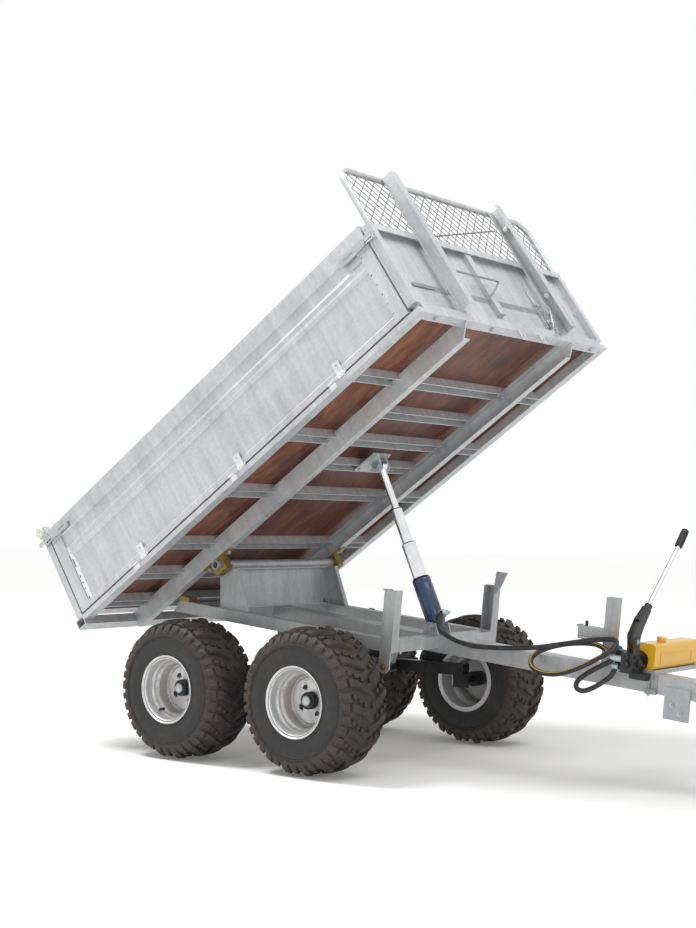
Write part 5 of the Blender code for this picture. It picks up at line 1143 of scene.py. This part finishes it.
def lift_cylinder():
    """The blue barrel, two plated stages with their wipers, the rod's eye and pin, and the foot's washers."""
    up = (0, 0, 1)
    top = BARREL_TOP
    barrel = [
        (0.0306, top + 0.0002), (0.0345, top), (0.0375, top - 0.002), (0.0395, top - 0.006),
        (0.0395, top - 0.022), (0.0382, top - 0.024), (0.0382, top - 0.03), (0.0393, top - 0.033),
        (0.0393, 0.022), (0.0385, 0.019), (0.024, -0.0095), (0.0, -0.01), (0.0, 0.02), (0.0306, 0.02),
    ]
    on_barrel = (LIFT, "lift_barrel")
    piece("barrel_body", [turned(barrel, MIDDLE, up, 64)], on_barrel, BARREL_BLUE, instead="lift_barrel")
    for name, bore, radius, start, end in (
        ("stage_large", 0.0235, 0.0305, 0.187, top + STAGE_TRAVEL),
        ("stage_small", 0.0155, 0.023, 0.354, top + STAGE_TRAVEL * 2),
    ):
        node = "lift_" + name
        profile = [
            (bore, start), (radius, start), (radius, end - 0.016), (radius - 0.0006, end - 0.0155),
            (radius - 0.0006, end - 0.0135), (radius, end - 0.013), (radius, end - 0.002),
            (radius - 0.002, end), (bore + 0.0015, end), (bore, end - 0.0015),
        ]
        piece(name, [turned(profile, MIDDLE, up, 64)], (LIFT, node), CHROME, instead=node)
        wiper = [
            (bore + 0.0002, end + 0.0002), (bore + 0.0042, end + 0.0002), (bore + 0.0036, end + 0.003),
            (bore + 0.0002, end + 0.0035),
        ]
        piece(name + "_wiper", [turned(wiper, MIDDLE, up, 48)], (LIFT, node), BLACK_RUBBER)
    wiper = [(0.0307, top + 0.0004), (0.036, top + 0.0004), (0.0345, top + 0.0035), (0.0307, top + 0.004)]
    piece("barrel_wiper", [turned(wiper, MIDDLE, up, 48)], on_barrel, BLACK_RUBBER)
    eye = LIFT_LENGTH
    stem = [
        (0, 0.521), (0.015, 0.521), (0.015, eye - 0.03), (0.0165, eye - 0.026), (0.0165, eye - 0.015),
        (0, eye - 0.015),
    ]
    ring = [
        (0.0122, -0.0145), (0.0245, -0.0145), (0.026, -0.013), (0.026, 0.013), (0.0245, 0.0145),
        (0.0122, 0.0145),
    ]
    forms = [turned(stem, MIDDLE, up, 48), turned(ring, (0, 0, eye), (0, 1, 0), 48)]
    piece("rod_eye", forms, (LIFT, "lift_rod"), CHROME, instead="lift_rod")
    pin = [
        (0, -0.045), (0.0165, -0.045), (0.0165, -0.0385), (0.0115, -0.038), (0.0115, 0.04), (0.0102, 0.0415),
        (0, 0.0415),
    ]
    piece("eye_pin", [turned(pin, EYE_PLACE, (0, 1, 0), 40)], ON_BED, BRIGHT_ZINC)
    u, w = LIFT_FOOT.x, LIFT_FOOT.z
    foot = [turned(washer(0.0065, 0.014, 0.003), (u, side * 0.0505, w), (0, side, 0), 28) for side in SIDES]
    foot += [rod((u, side * 0.0505, w), (u, side * 0.062, w), 0.006, 20) for side in SIDES]
    piece("foot_washers", foot, ON_CHASSIS, BRIGHT_ZINC)


# Bed

BENT_ROD = (
    (2.165, -0.335, 0.208), (2.165, -0.317, 0.235), (2.165, -0.288, 0.251), (2.165, -0.15, 0.252),
    (2.165, 0.005, 0.252), (2.165, 0.021, 0.247), (2.165, 0.005, 0.236), (2.165, -0.07, 0.182),
    (2.14, -0.088, 0.17),
)
BOSS_PROFILE = ((0, 0), (0.0125, 0), (0.0125, 0.013), (0.0115, 0.016), (0.0085, 0.0175), (0, 0.0175))
PIVOT_CAP = (
    (0, 0), (0.0215, 0), (0.0225, 0.002), (0.0225, 0.009), (0.0205, 0.0115), (0.008, 0.0115), (0.006, 0.0095),
    (0, 0.0095),
)


def bed_details():
    """The bed's bolts, screws, rivets, bent rod, painted shade of the headboard's groove, caps and welds."""
    front = BED_LENGTH
    down, ahead = (0, 0, -1), (1, 0, 0)
    sill = [((2.13, y, -0.0004), down) for y in (-0.591, -0.202, 0.201, 0.588)]
    bolts("sill_bolts", sill, ON_BED, 0.0085, 0.006)
    bracket = []
    for side in SIDES:
        bracket += [((0.58 + place, side * 0.385, -0.0595), down) for place in (-0.066, 0.066)]
        bracket += [((0.58 + place, side * 0.37, -0.0478), (0, 0, 1)) for place in (-0.066, 0.066)]
    bolts("bracket_bolts", bracket, ON_BED, 0.0085, 0.007)
    clevis = [((1.281 + x, y, -0.0063), down) for x in (-0.075, 0.025) for y in (-0.045, 0.045)]
    bolts("clevis_bolts", clevis, ON_BED, 0.0065, 0.005)
    screws = [((place, -0.62 + i * 0.155, 0.0604), (0, 0, 1)) for place in BEARER_PLACES for i in range(9)]
    rivets("floor_screws", screws, ON_BED, 0.0055, 0.0007, BRIGHT_ZINC)
    panel = [((front - 0.0265, y, n), ahead) for y in (-0.66, 0.66) for n in (0.1, 0.2, 0.3, 0.385)]
    rivets("panel_rivets", panel, ON_BED, 0.0045, 0.0025, BED_ZINC)
    piece("bent_rod", [swept(smooth_path(BENT_ROD), 0.0042)], ON_BED, DULL_ZINC_AND_SHADE)
    # Thin strips of darker zinc along the headboard's groove: painted shade of the groove.
    groove_shades = [
        slab((front - 0.0238, front - 0.0226), span, (0.158, 0.176))
        for span in ((-0.6, -0.408), (-0.362, -0.072), (-0.028, 0.362), (0.408, 0.6))
    ]
    piece("panel_groove_shade", groove_shades, ON_BED, GROOVE_SHADE, 0.0004)
    bosses = [turned(BOSS_PROFILE, (2.17, 0.4005, n), (0, -1, 0)) for n in (0.603, 0.233)]
    piece("upright_bosses", bosses, ON_BED, WHITE_PLASTIC)
    far_latch()
    caps = [turned(PIVOT_CAP, (0.0015, side * SIDE_FACE, 0.465), (0, side, 0), 40) for side in SIDES]
    piece("pivot_caps", caps, ON_BED, WHITE_PLASTIC)
    seams = []
    for side in SIDES:
        seams.append(run_up(front - 0.0305, side * 0.7058, (0.05, 0.15, 0.3, 0.42)))
        seams.append(run_up(front + 0.0005, side * 0.4055, (0.05, 0.25, 0.45, 0.6)))
    for place in BEARER_PLACES:
        for side in SIDES:
            seams.append(run_across(place - 0.0235, 0.002, (side * 0.656, side * 0.646)))
            seams.append(run_across(place + 0.0235, 0.002, (side * 0.405, side * 0.425)))
    for side in SIDES:
        seams.append([(s, side * 0.4055, n) for s, n in ((2.098, -0.048), (2.12, -0.03), (2.147, -0.003))])
        seams.append(run_across(0.0345, -0.021, (side * 0.368, side * 0.402)))
    welds("bed_welds", seams, ON_BED, 0.0032)


def far_latch():
    """The zinc latch on the headboard's far half: its pull rods, pivots and side lever."""
    upper = ((2.1395, 0.318, 0.05), (2.152, 0.33, 0.1), (2.156, 0.362, 0.16), (2.15, 0.385, 0.198))
    lower = ((2.146, 0.312, 0.05), (2.158, 0.296, 0.03), (2.166, 0.268, 0.012), (2.168, 0.24, 0.004))
    pivot = [
        (0, 0), (0.017, 0), (0.017, 0.004), (0.012, 0.0055), (0.012, 0.013), (0.0095, 0.0155), (0, 0.0155),
    ]
    small = [(0, 0), (0.012, 0), (0.012, 0.003), (0.0085, 0.0045), (0.0085, 0.0095), (0, 0.0105)]
    arm = [(0.3, 0.028), (0.338, 0.028), (0.428, 0.118), (0.428, 0.142), (0.404, 0.142), (0.3, 0.06)]
    parts = [
        swept(smooth_path(upper), 0.0046), swept(smooth_path(lower), 0.0046),
        turned(pivot, (2.1385, 0.318, 0.05), (1, 0, 0)), turned(small, (2.1385, 0.322, 0.105), (1, 0, 0), 28),
        plate(arm, 2.157, 2.161),
    ]
    piece("latch_levers", parts, ON_BED, BRIGHT_ZINC, 0.0008)
    bolts("latch_bolts", [((2.1387, 0.32, n), (1, 0, 0)) for n in (0.155, 0.185)], ON_BED, 0.006, 0.004)


def drop_sides():
    """Hinge leaves, pressed folds in brighter zinc as painted highlight, slots as painted shade, spot welds
    and both latches of each side.
    """
    for hand, side in (("right", -1), ("left", 1)):
        body = "side_" + hand
        home = (BED, body)
        face, leaf_face = side * SIDE_FACE, side * 0.7102
        leaves, tabs = [], []
        for place in HINGE_PLACES:
            leaves.append(slab((place + 0.014, place + 0.048), (face, leaf_face), (0.033, 0.086)))
            leaves.append(knuckle(place + 0.014, 0.034, side))
            ends = [(place + shift, side * SIDE_PIN, 0.03) for shift in (-0.046, 0.056)]
            leaves.append(rod(*ends, 0.0048, 20))
            tabs.append(slab((place - 0.04, place - 0.006), (face, leaf_face), (0.001, 0.021)))
            tabs.append(slab((place - 0.036, place - 0.01), (face, side * 0.7092), (0.0205, 0.0235)))
        piece(body + "_leaves", leaves, home, CLEAN_ZINC_AND_HIGHLIGHT, 0.0007)
        piece(body + "_rail_tabs", tabs, ON_BED, CLEAN_ZINC_AND_HIGHLIGHT, 0.0007)
        heads = [((place + 0.031, side * 0.7103, 0.07), (0, side, 0)) for place in HINGE_PLACES]
        rivets(body + "_rivets", heads, home, 0.0052, 0.0026, CLEAN_ZINC_AND_HIGHLIGHT)
        # The fold wears the brighter copy of the zinc: painted highlight.
        outline = [(0.105, 0.046), (0.128, 0.046), (0.128, 0.255), (0.116, 0.3), (0.105, 0.306)]
        fold = plate(outline, side * 0.6992, side * 0.7048, 1)
        piece(body + "_fold", [fold], home, CLEAN_ZINC_AND_HIGHLIGHT, 0.0008)
        # Thin black sheets where the slots are: painted shade of the slots.
        slot_shades = [
            slab((0.11, 0.115), (side * 0.7048, side * 0.7050), span)
            for span in ((0.215, 0.257), (0.163, 0.172), (0.132, 0.14), (0.105, 0.11), (0.053, 0.068))
        ]
        piece(body + "_slots", slot_shades, home, SLOT_SHADE)
        spots = [((2.048, side * 0.7045, n), (0, side, 0)) for n in (0.07, 0.115, 0.16, 0.205, 0.25, 0.335)]
        rivets(body + "_spot_welds", spots, home, 0.004, 0.0012, BED_ZINC, 20)
        latch(body, side, 1.966, 2.092, 2.148, 0.376)
        latch(body, side, 0.176, 0.062, 0.004, 0.408)


def knuckle(start, length, side):
    """The rolled barrel of a hinge leaf."""
    near_end = [(0.0045, 0), (0.0088, 0), (0.0096, 0.0012)]
    profile = near_end + [(r, length - distance) for r, distance in reversed(near_end)]
    return turned(profile, (start, side * SIDE_PIN, 0.03), (1, 0, 0), 28)


def latch(body, side, grip, pivot, catch, height):
    """A folded lever on its bracket, with a link loop that pulls onto a catch on the corner post."""
    way = 1 if catch > grip else -1
    name = body + ("_front" if way > 0 else "_rear")
    near, inner, outer, far = side * 0.7063, side * 0.7094, side * 0.7149, side * 0.7168
    link_plane = side * 0.7125
    top, base = height + 0.02, height - 0.021
    heel, toe, nose, hook = pivot - way * 0.055, pivot + way * 0.01, pivot + way * 0.004, catch - way * 0.012
    forms = [
        plate([(heel, base - 0.006), (toe, base - 0.012), (toe, top - 0.004), (heel, top - 0.004)],
              near, side * 0.7092, 1),
        plate([(grip, base + 0.001), (nose, base + 0.006), (nose, top - 0.006), (grip, top - 0.001)],
              side * 0.7148, far, 1),
    ]
    for edge, tilt in ((top - 0.001, -0.005), (base + 0.001, 0.005)):
        end = edge + tilt
        fold = [(grip, edge - 0.0011), (pivot, end - 0.0011), (pivot, end + 0.0011), (grip, edge + 0.0011)]
        forms.append(plate(fold, inner, outer, 1))
    forms.append(slab((grip - 0.0012, grip + 0.0012), (inner, outer), (base + 0.001, top - 0.001)))
    for rise in (-0.012, 0.012):
        link = smooth_path([
            (pivot - way * 0.02, link_plane, height + rise), (pivot + way * 0.015, link_plane, height + rise),
            (hook, link_plane, height + rise * 1.3),
        ])
        forms.append(swept(link, 0.0032))
    forms.append(rod((hook, link_plane, height - 0.0175), (hook, link_plane, height + 0.0175), 0.0034, 14))
    rivet = [(0, 0), (0.0075, 0), (0.0075, 0.0025), (0.005, 0.0042), (0, 0.0046)]
    forms.append(turned(rivet, (pivot - way * 0.008, side * 0.7128, height + 0.001), (0, side, 0), 24))
    piece(name + "_lever", forms, (BED, body), BRIGHT_ZINC, 0.0006)
    # A thin sheet of darker zinc on the grip stands for its slot: painted shade.
    back, fore = grip + way * 0.018, grip + way * 0.066
    slot = [(back, height - 0.005), (fore, height - 0.004), (fore, height + 0.004), (back, height + 0.005)]
    piece(name + "_slot", [plate(slot, far, side * 0.71695, 1)], (BED, body), DULL_ZINC_AND_SHADE)
    back, low, high = catch - way * 0.03, catch - way * 0.009, catch - way * 0.004
    seat = [(back, height - 0.022), (catch, height - 0.026), (catch, height + 0.02), (back, height + 0.024)]
    lip = [(low, height - 0.019), (high, height - 0.019), (high, height + 0.019), (low, height + 0.019)]
    caught = [plate(seat, near, side * 0.7088, 1), plate(lip, side * 0.7087, side * 0.7155, 1)]
    piece(name + "_catch", caught, ON_BED, BRIGHT_ZINC, 0.0006)


def gate_details():
    """The tailgate's pin washers, rivets and low pressed ridges."""
    flat = washer(0.0092, 0.017, 0.0032)
    parts = [turned(flat, (0, side * 0.6615, 0.462), (0, -side, 0)) for side in SIDES]
    piece("gate_washers", parts, ON_GATE, BRIGHT_ZINC)
    heads = [((-0.0142, side * 0.64, n), (-1, 0, 0)) for side in SIDES for n in (0.1, 0.2, 0.3, 0.4)]
    rivets("gate_rivets", heads, ON_GATE, 0.0045, 0.0025, BED_ZINC)
    ridges = []
    for n in (0.14, 0.24, 0.34):
        outline = [(-0.0138, n - 0.012), (-0.0168, n - 0.005), (-0.0168, n + 0.005), (-0.0138, n + 0.012)]
        ridges.append(plate(outline, -0.62, 0.62, 1))
    piece("gate_ridges", ridges, ON_GATE, BED_ZINC)


# Chassis

RAIL_WELDS = [
    run_across(-0.3695, 0.2835, (-0.0495, 0, 0.0495)),
    run_up(-0.3695, -0.0503, (0.235, 0.26, 0.283)),
    run_across(-0.3695, 0.2835, (-0.33, -0.2, -0.06)),
    run_across(-0.3695, 0.2835, (0.06, 0.2, 0.33)),
    run_across(0.4785, 0.2835, (-0.331, -0.31)),
    run_up(0.4785, -0.3325, (0.24, 0.26, 0.28)),
    run_along(-0.3368, 0.2838, (0.476, 0.5, 0.527)),
    run_along(0.3368, 0.2838, (0.476, 0.5, 0.527)),
    run_across(0.4738, 0.2838, (-0.38, -0.36, -0.338)),
    run_across(0.4738, 0.2838, (0.338, 0.36, 0.38)),
    run_across(1.2495, 0.2838, (-0.0195, 0, 0.0195)),
    run_along(-0.0203, 0.2838, (1.25, 1.27, 1.294)),
    run_across(1.2955, 0.2838, (-0.0195, 0, 0.0195)),
    run_along(-0.0203, 0.3705, (1.145, 1.2, 1.249)),
    run_along(-0.0408, 0.2835, (0.446, 0.48, 0.52)),
    run_along(0.0408, 0.2835, (0.446, 0.48, 0.52)),
    run_along(-0.0506, 0.247, (1.54, 1.59, 1.638)),
    run_along(-0.3572, 0.2835, (-0.405, -0.3, -0.262)),
    run_along(0.3572, 0.2835, (-0.405, -0.3, -0.262)),
    run_across(1.652, 0.2826, (-0.049, 0, 0.049)),
    run_along(-0.3417, 0.2325, (-0.08, 0, 0.08)),
    run_along(0.3417, 0.2325, (-0.08, 0, 0.08)),
]


def chassis_details():
    """The frame's bolts, pins, washers and welds."""
    lugs = [((0.5, side * 0.3822, 0.175), (0, side, 0)) for side in SIDES]
    bolts("lug_bolts", lugs, ON_CHASSIS, 0.0098, 0.0085, finish=YELLOW_ZINC)
    hung = [((u, -0.0582, w), (0, -1, 0)) for u, w in ((1.5733, 0.1877), (1.6067, 0.1603))]
    bolts("plate_bolts", hung, ON_CHASSIS, 0.0085, 0.008, thread=0.006)
    cross = [((u, v, 0.2327), (0, 0, -1)) for u, v in ((0.5, -0.3), (0.516, -0.3), (0.5, 0.3))]
    bolts("cross_bolts", cross, ON_CHASSIS, 0.007, 0.006)
    stop = [((1.20, -0.0202, w), (0, -1, 0)) for w in (0.382, 0.404)]
    bolts("stop_bolts", stop, ON_CHASSIS, 0.0055, 0.004, thread=0.003)
    piece("stop_pin", [rod((1.165, 0, 0.4172), (1.165, 0, 0.436), 0.006, 20)], ON_CHASSIS, BLACK_STEEL)
    turns = [math.tau * i / 20 for i in range(20)]
    ring = [(1.74 + 0.013 * math.cos(t), 0.1045, 0.213 + 0.013 * math.sin(t)) for t in turns]
    flat = washer(0.0083, 0.0165, 0.003)
    parts = [turned(flat, (1.74, 0.0995, 0.213), (0, 1, 0), 28), swept(ring, 0.0018, 8)]
    piece("leg_washers", parts, ON_CHASSIS, BRIGHT_ZINC)
    coupler = [((u, side * 0.0353, 0.194), (0, side, 0)) for u in (1.936, 1.975) for side in SIDES]
    bolts("coupling_bolts", coupler, ON_CHASSIS, 0.008, 0.007)
    welds("frame_welds", RAIL_WELDS, ON_CHASSIS, 0.0036)
    turns = [math.pi + math.pi * i / 10 for i in range(11)]
    under = [(HINGE_ALONG + 0.0205 * math.cos(t), HINGE_HEIGHT + 0.0205 * math.sin(t)) for t in turns]
    tube = [[(u, side * 0.3335, w) for u, w in under] for side in SIDES]
    tube.append(run_across(HINGE_ALONG - 0.014, HINGE_HEIGHT - 0.0155, (-0.33, -0.2, 0, 0.2, 0.33)))
    tube.append(run_across(HINGE_ALONG + 0.009, HINGE_HEIGHT - 0.0185, (-0.33, -0.2, 0, 0.2, 0.33)))
    welds("tower_welds", tube, ON_CHASSIS, 0.0042)


# Pump

KNOB_PROFILE = (
    (0, 0), (0.007, 0), (0.007, 0.012), (0.0175, 0.0135), (0.0205, 0.0165), (0.0205, 0.0265), (0.018, 0.0295),
    (0.006, 0.03), (0, 0.03),
)
FILLER_PROFILE = (
    (0, 0), (0.0165, 0), (0.0165, 0.008), (0.0185, 0.0085), (0.0188, 0.0105), (0.0185, 0.0165),
    (0.017, 0.0178), (0.006, 0.0178), (0, 0.0172),
)


def pump_details():
    """The valve knob, the tank's ribs and cap, the clamp, and the casting's bolts and plugs."""
    piece("valve_knob", [turned(KNOB_PROFILE, (1.3498, -0.035, 0.347), (-1, 0, 0))], ON_CHASSIS, BLUE_PLASTIC)
    ribs = [
        slab((1.4851, 1.4868), v, w) for v, w in (
            ((-0.005, 0.262), (0.3175, 0.323)), ((-0.005, 0.262), (0.3565, 0.3615)),
            ((-0.005, 0.0005), (0.3225, 0.357)), ((0.2565, 0.262), (0.3225, 0.357)),
        )
    ]
    piece("tank_ribs", ribs, ON_CHASSIS, TANK_YELLOW, 0.0012)
    filler = turned(FILLER_PROFILE, (1.445, 0.075, 0.3945), (0, 0, 1), 36)
    piece("filler_cap", [filler], ON_CHASSIS, TANK_YELLOW)
    bolts("tray_bolts", [((u, 0.345, 0.2993), (0, 0, 1)) for u in (1.43, 1.46)], ON_CHASSIS, 0.0075, 0.006)
    clamp = [
        slab((1.46, 1.506), (-0.064, -0.0506), (0.213, 0.231)),
        slab((1.488, 1.506), (-0.0535, -0.0506), (0.23, 0.283)),
        rod((1.474, -0.0575, 0.2315), (1.474, -0.0575, 0.2735), 0.0042, 20),
    ]
    piece("tray_clamp", clamp, ON_CHASSIS, DULL_ZINC_AND_SHADE, 0.001)
    bolts("clamp_nut", [((1.474, -0.0575, 0.2128), (0, 0, -1))], ON_CHASSIS, 0.0072, 0.006)
    head = [((PUMP_FACE, v, w), (1, 0, 0)) for v in (-0.13, -0.072) for w in (0.298, 0.346)]
    bolts("head_bolts", head, ON_CHASSIS, 0.0062, 0.006, thread=0.002, finish=CASTING)
    bosses = []
    for v, w, radius in ((-0.101, 0.322, 0.0135), (-0.062, 0.31, 0.009)):
        plug = [
            (0, 0), (radius, 0), (radius, 0.008), (radius * 0.82, 0.0105), (radius * 0.6, 0.0105),
            (radius * 0.6, 0.015), (0, 0.016),
        ]
        bosses.append(turned(plug, (PUMP_FACE, v, w), (1, 0, 0), 28))
    plug = [(0, 0), (0.012, 0), (0.012, 0.012), (0.009, 0.015), (0, 0.015)]
    bosses.append(turned(plug, (LEVER_PLANE - 0.01, -0.1452, 0.318), (0, -1, 0), 28))
    plug = [(0, 0), (0.009, 0), (0.009, 0.008), (0.006, 0.0105), (0, 0.0105)]
    bosses.append(turned(plug, (LEVER_PLANE - 0.01, -0.1452, 0.345), (0, -1, 0), 24))
    piece("casting_bosses", bosses, ON_CHASSIS, CASTING)
    lever()


def lever():
    """The hand lever: folded cheeks on the pump's ears, a sleeve, a bright tube and a ribbed grip."""
    outline = [
        (-0.147, 0.388), (-0.155, 0.428), (-0.112, 0.484), (-0.053, 0.531), (-0.03, 0.513), (-0.073, 0.458),
        (-0.093, 0.422), (-0.1, 0.388),
    ]
    cheeks = [plate(outline, LEVER_PLANE + side * 0.0095, LEVER_PLANE + side * 0.0135) for side in SIDES]
    back = [(-0.112, 0.484), (-0.053, 0.531), (-0.0512, 0.5288), (-0.1098, 0.4815)]
    cheeks.append(plate(back, LEVER_PLANE - 0.0096, LEVER_PLANE + 0.0096))
    ends = ((-0.028, 0.533), (0.176, 0.7505), (0.2265, 0.8135))
    foot, top, tip = (Vector((LEVER_PLANE, v, w)) for v, w in ends)
    length = (top - foot).length
    sleeve = [
        (0, -0.075), (0.0125, -0.075), (0.0148, -0.072), (0.0148, -0.001), (0.0135, 0.001), (0.0088, 0.001),
        (0.0088, -0.004), (0, -0.004),
    ]
    cheeks.append(turned(sleeve, foot, top - foot))
    piece("lever_cheeks", cheeks, ON_CHASSIS, CASTING, 0.0008, instead="pump_handle")
    # A thin black disc on the cheek where its hole is: painted shade of the hole.
    hole = turned(washer(0, 0.0068, 0.0004), (LEVER_PLANE + 0.0136, -0.103, 0.473), (1, 0, 0), 24)
    piece("lever_hole_shade", [hole], ON_CHASSIS, BLACK_RUBBER)
    tube = [(0, -0.003), (0.0085, -0.003), (0.0085, length), (0, length)]
    piece("lever_tube", [turned(tube, foot, top - foot)], ON_CHASSIS, CHROME)
    reach = (tip - top).length
    ribs = [(0, 0), (0.0125, 0), (0.0148, 0.002)]
    for i in range(int((reach - 0.01) / GRIP_PITCH)):
        base = 0.004 + i * GRIP_PITCH
        ribs += [(0.0152, base), (0.0152, base + 0.0035), (0.0136, base + 0.0045), (0.0136, base + 0.0065)]
    ribs += [(0.0148, reach - 0.003), (0.0125, reach), (0, reach)]
    piece("lever_grip", [turned(ribs, top, tip - top, 28)], ON_CHASSIS, BLACK_RUBBER)
    pivots = [((LEVER_PLANE + side * 0.0153, -0.121, 0.402), (side, 0, 0)) for side in SIDES]
    bolts("lever_pivots", pivots, ON_CHASSIS, 0.0072, 0.005)


# The solids that stay, the light and the floor

def dress_nodes():
    """Gives each solid the finish of its slot, with the zinc of the body that it belongs to."""
    looks = {
        "black_steel": BLACK_STEEL, "zinc_yellow": YELLOW_ZINC, "hardwood": WOOD, "barrel_blue": BARREL_BLUE,
        "tank_yellow": TANK_YELLOW, "pump_iron": CASTING, "bright_zinc": BRIGHT_ZINC, "chrome": CHROME,
        "rim_silver": BRIGHT_ZINC, "tyre_rubber": BLACK_STEEL, "hose_rubber": BLACK_STEEL,
    }
    on_chassis = set(frame["record"]["behaviour"]["bodies"]["chassis"]) | {"parking_leg"}
    for entry in frame["record"]["subparts"]:
        node = frame["nodes"][entry["node"]]
        zinc = CHASSIS_ZINC if entry["node"] in on_chassis else BED_ZINC
        node.data.materials.clear()
        node.data.materials.append(looks.get(entry["material_slot"], zinc)[0])


def light_the_studio():
    """A plain world, brighter where it is seen or mirrored, and three soft lamps."""
    world = bpy.data.worlds.new("studio")
    world.use_nodes = True
    bpy.context.scene.world = world
    tree = world.node_tree
    rays = tree.nodes.new("ShaderNodeLightPath").outputs
    seen = rays["Is Camera Ray"]
    for kind in ("Is Glossy Ray", "Is Transmission Ray"):
        seen = add_maths(tree, "MAXIMUM", seen, rays[kind])
    levels = {"To Min": WORLD_LIGHT, "To Max": WORLD_SEEN, "Value": seen}
    sky = tree.nodes["Background"]
    sky.inputs["Color"].default_value = (1, 1, 1, 1)
    tree.links.new(add_node(tree, "ShaderNodeMapRange", {}, levels), sky.inputs["Strength"])
    for name, energy, size, place in LAMPS:
        lamp = bpy.data.lights.new(name, "AREA")
        lamp.energy = energy
        lamp.size = size
        holder = bpy.data.objects.new(name, lamp)
        bpy.context.scene.collection.objects.link(holder)
        holder.location = place
        holder.rotation_euler = (Vector(place) - LAMP_AIM).to_track_quat("Z", "Y").to_euler()


def lay_floor():
    """A pale floor that glows as painted light, faintly near the trailer and more away from it, so that it
    fades to white.
    """
    mesh = bpy.data.meshes.new("floor")
    corners = [(-FLOOR_REACH, -FLOOR_REACH, 0), (FLOOR_REACH, -FLOOR_REACH, 0)]
    corners += [(FLOOR_REACH, FLOOR_REACH, 0), (-FLOOR_REACH, FLOOR_REACH, 0)]
    mesh.from_pydata(corners, [], [(0, 1, 2, 3)])
    floor = bpy.data.objects.new("floor", mesh)
    bpy.context.scene.collection.objects.link(floor)
    recipe = Recipe("floor")
    place = recipe.place()
    away = recipe.spread(recipe.distance(place, (0, 1)), 2.2, 7.0)
    fine = recipe.noise(place, 3, 4)
    recipe.set(
        Base_Color=recipe.blend(fine, (0.84, 0.84, 0.83), (0.88, 0.88, 0.87)),
        Roughness=0.9,
        # The floor's glow, stronger away from the trailer: painted light.
        Emission_Color=recipe.blend(away, (0.1, 0.1, 0.1), (0.5, 0.5, 0.5)),
        Emission_Strength=1.0,
    )
    mesh.materials.append(recipe.material)


dress_nodes()
hoses()
wheels()
guard()
lift_cylinder()
bed_details()
drop_sides()
gate_details()
chassis_details()
pump_details()
light_the_studio()
lay_floor()
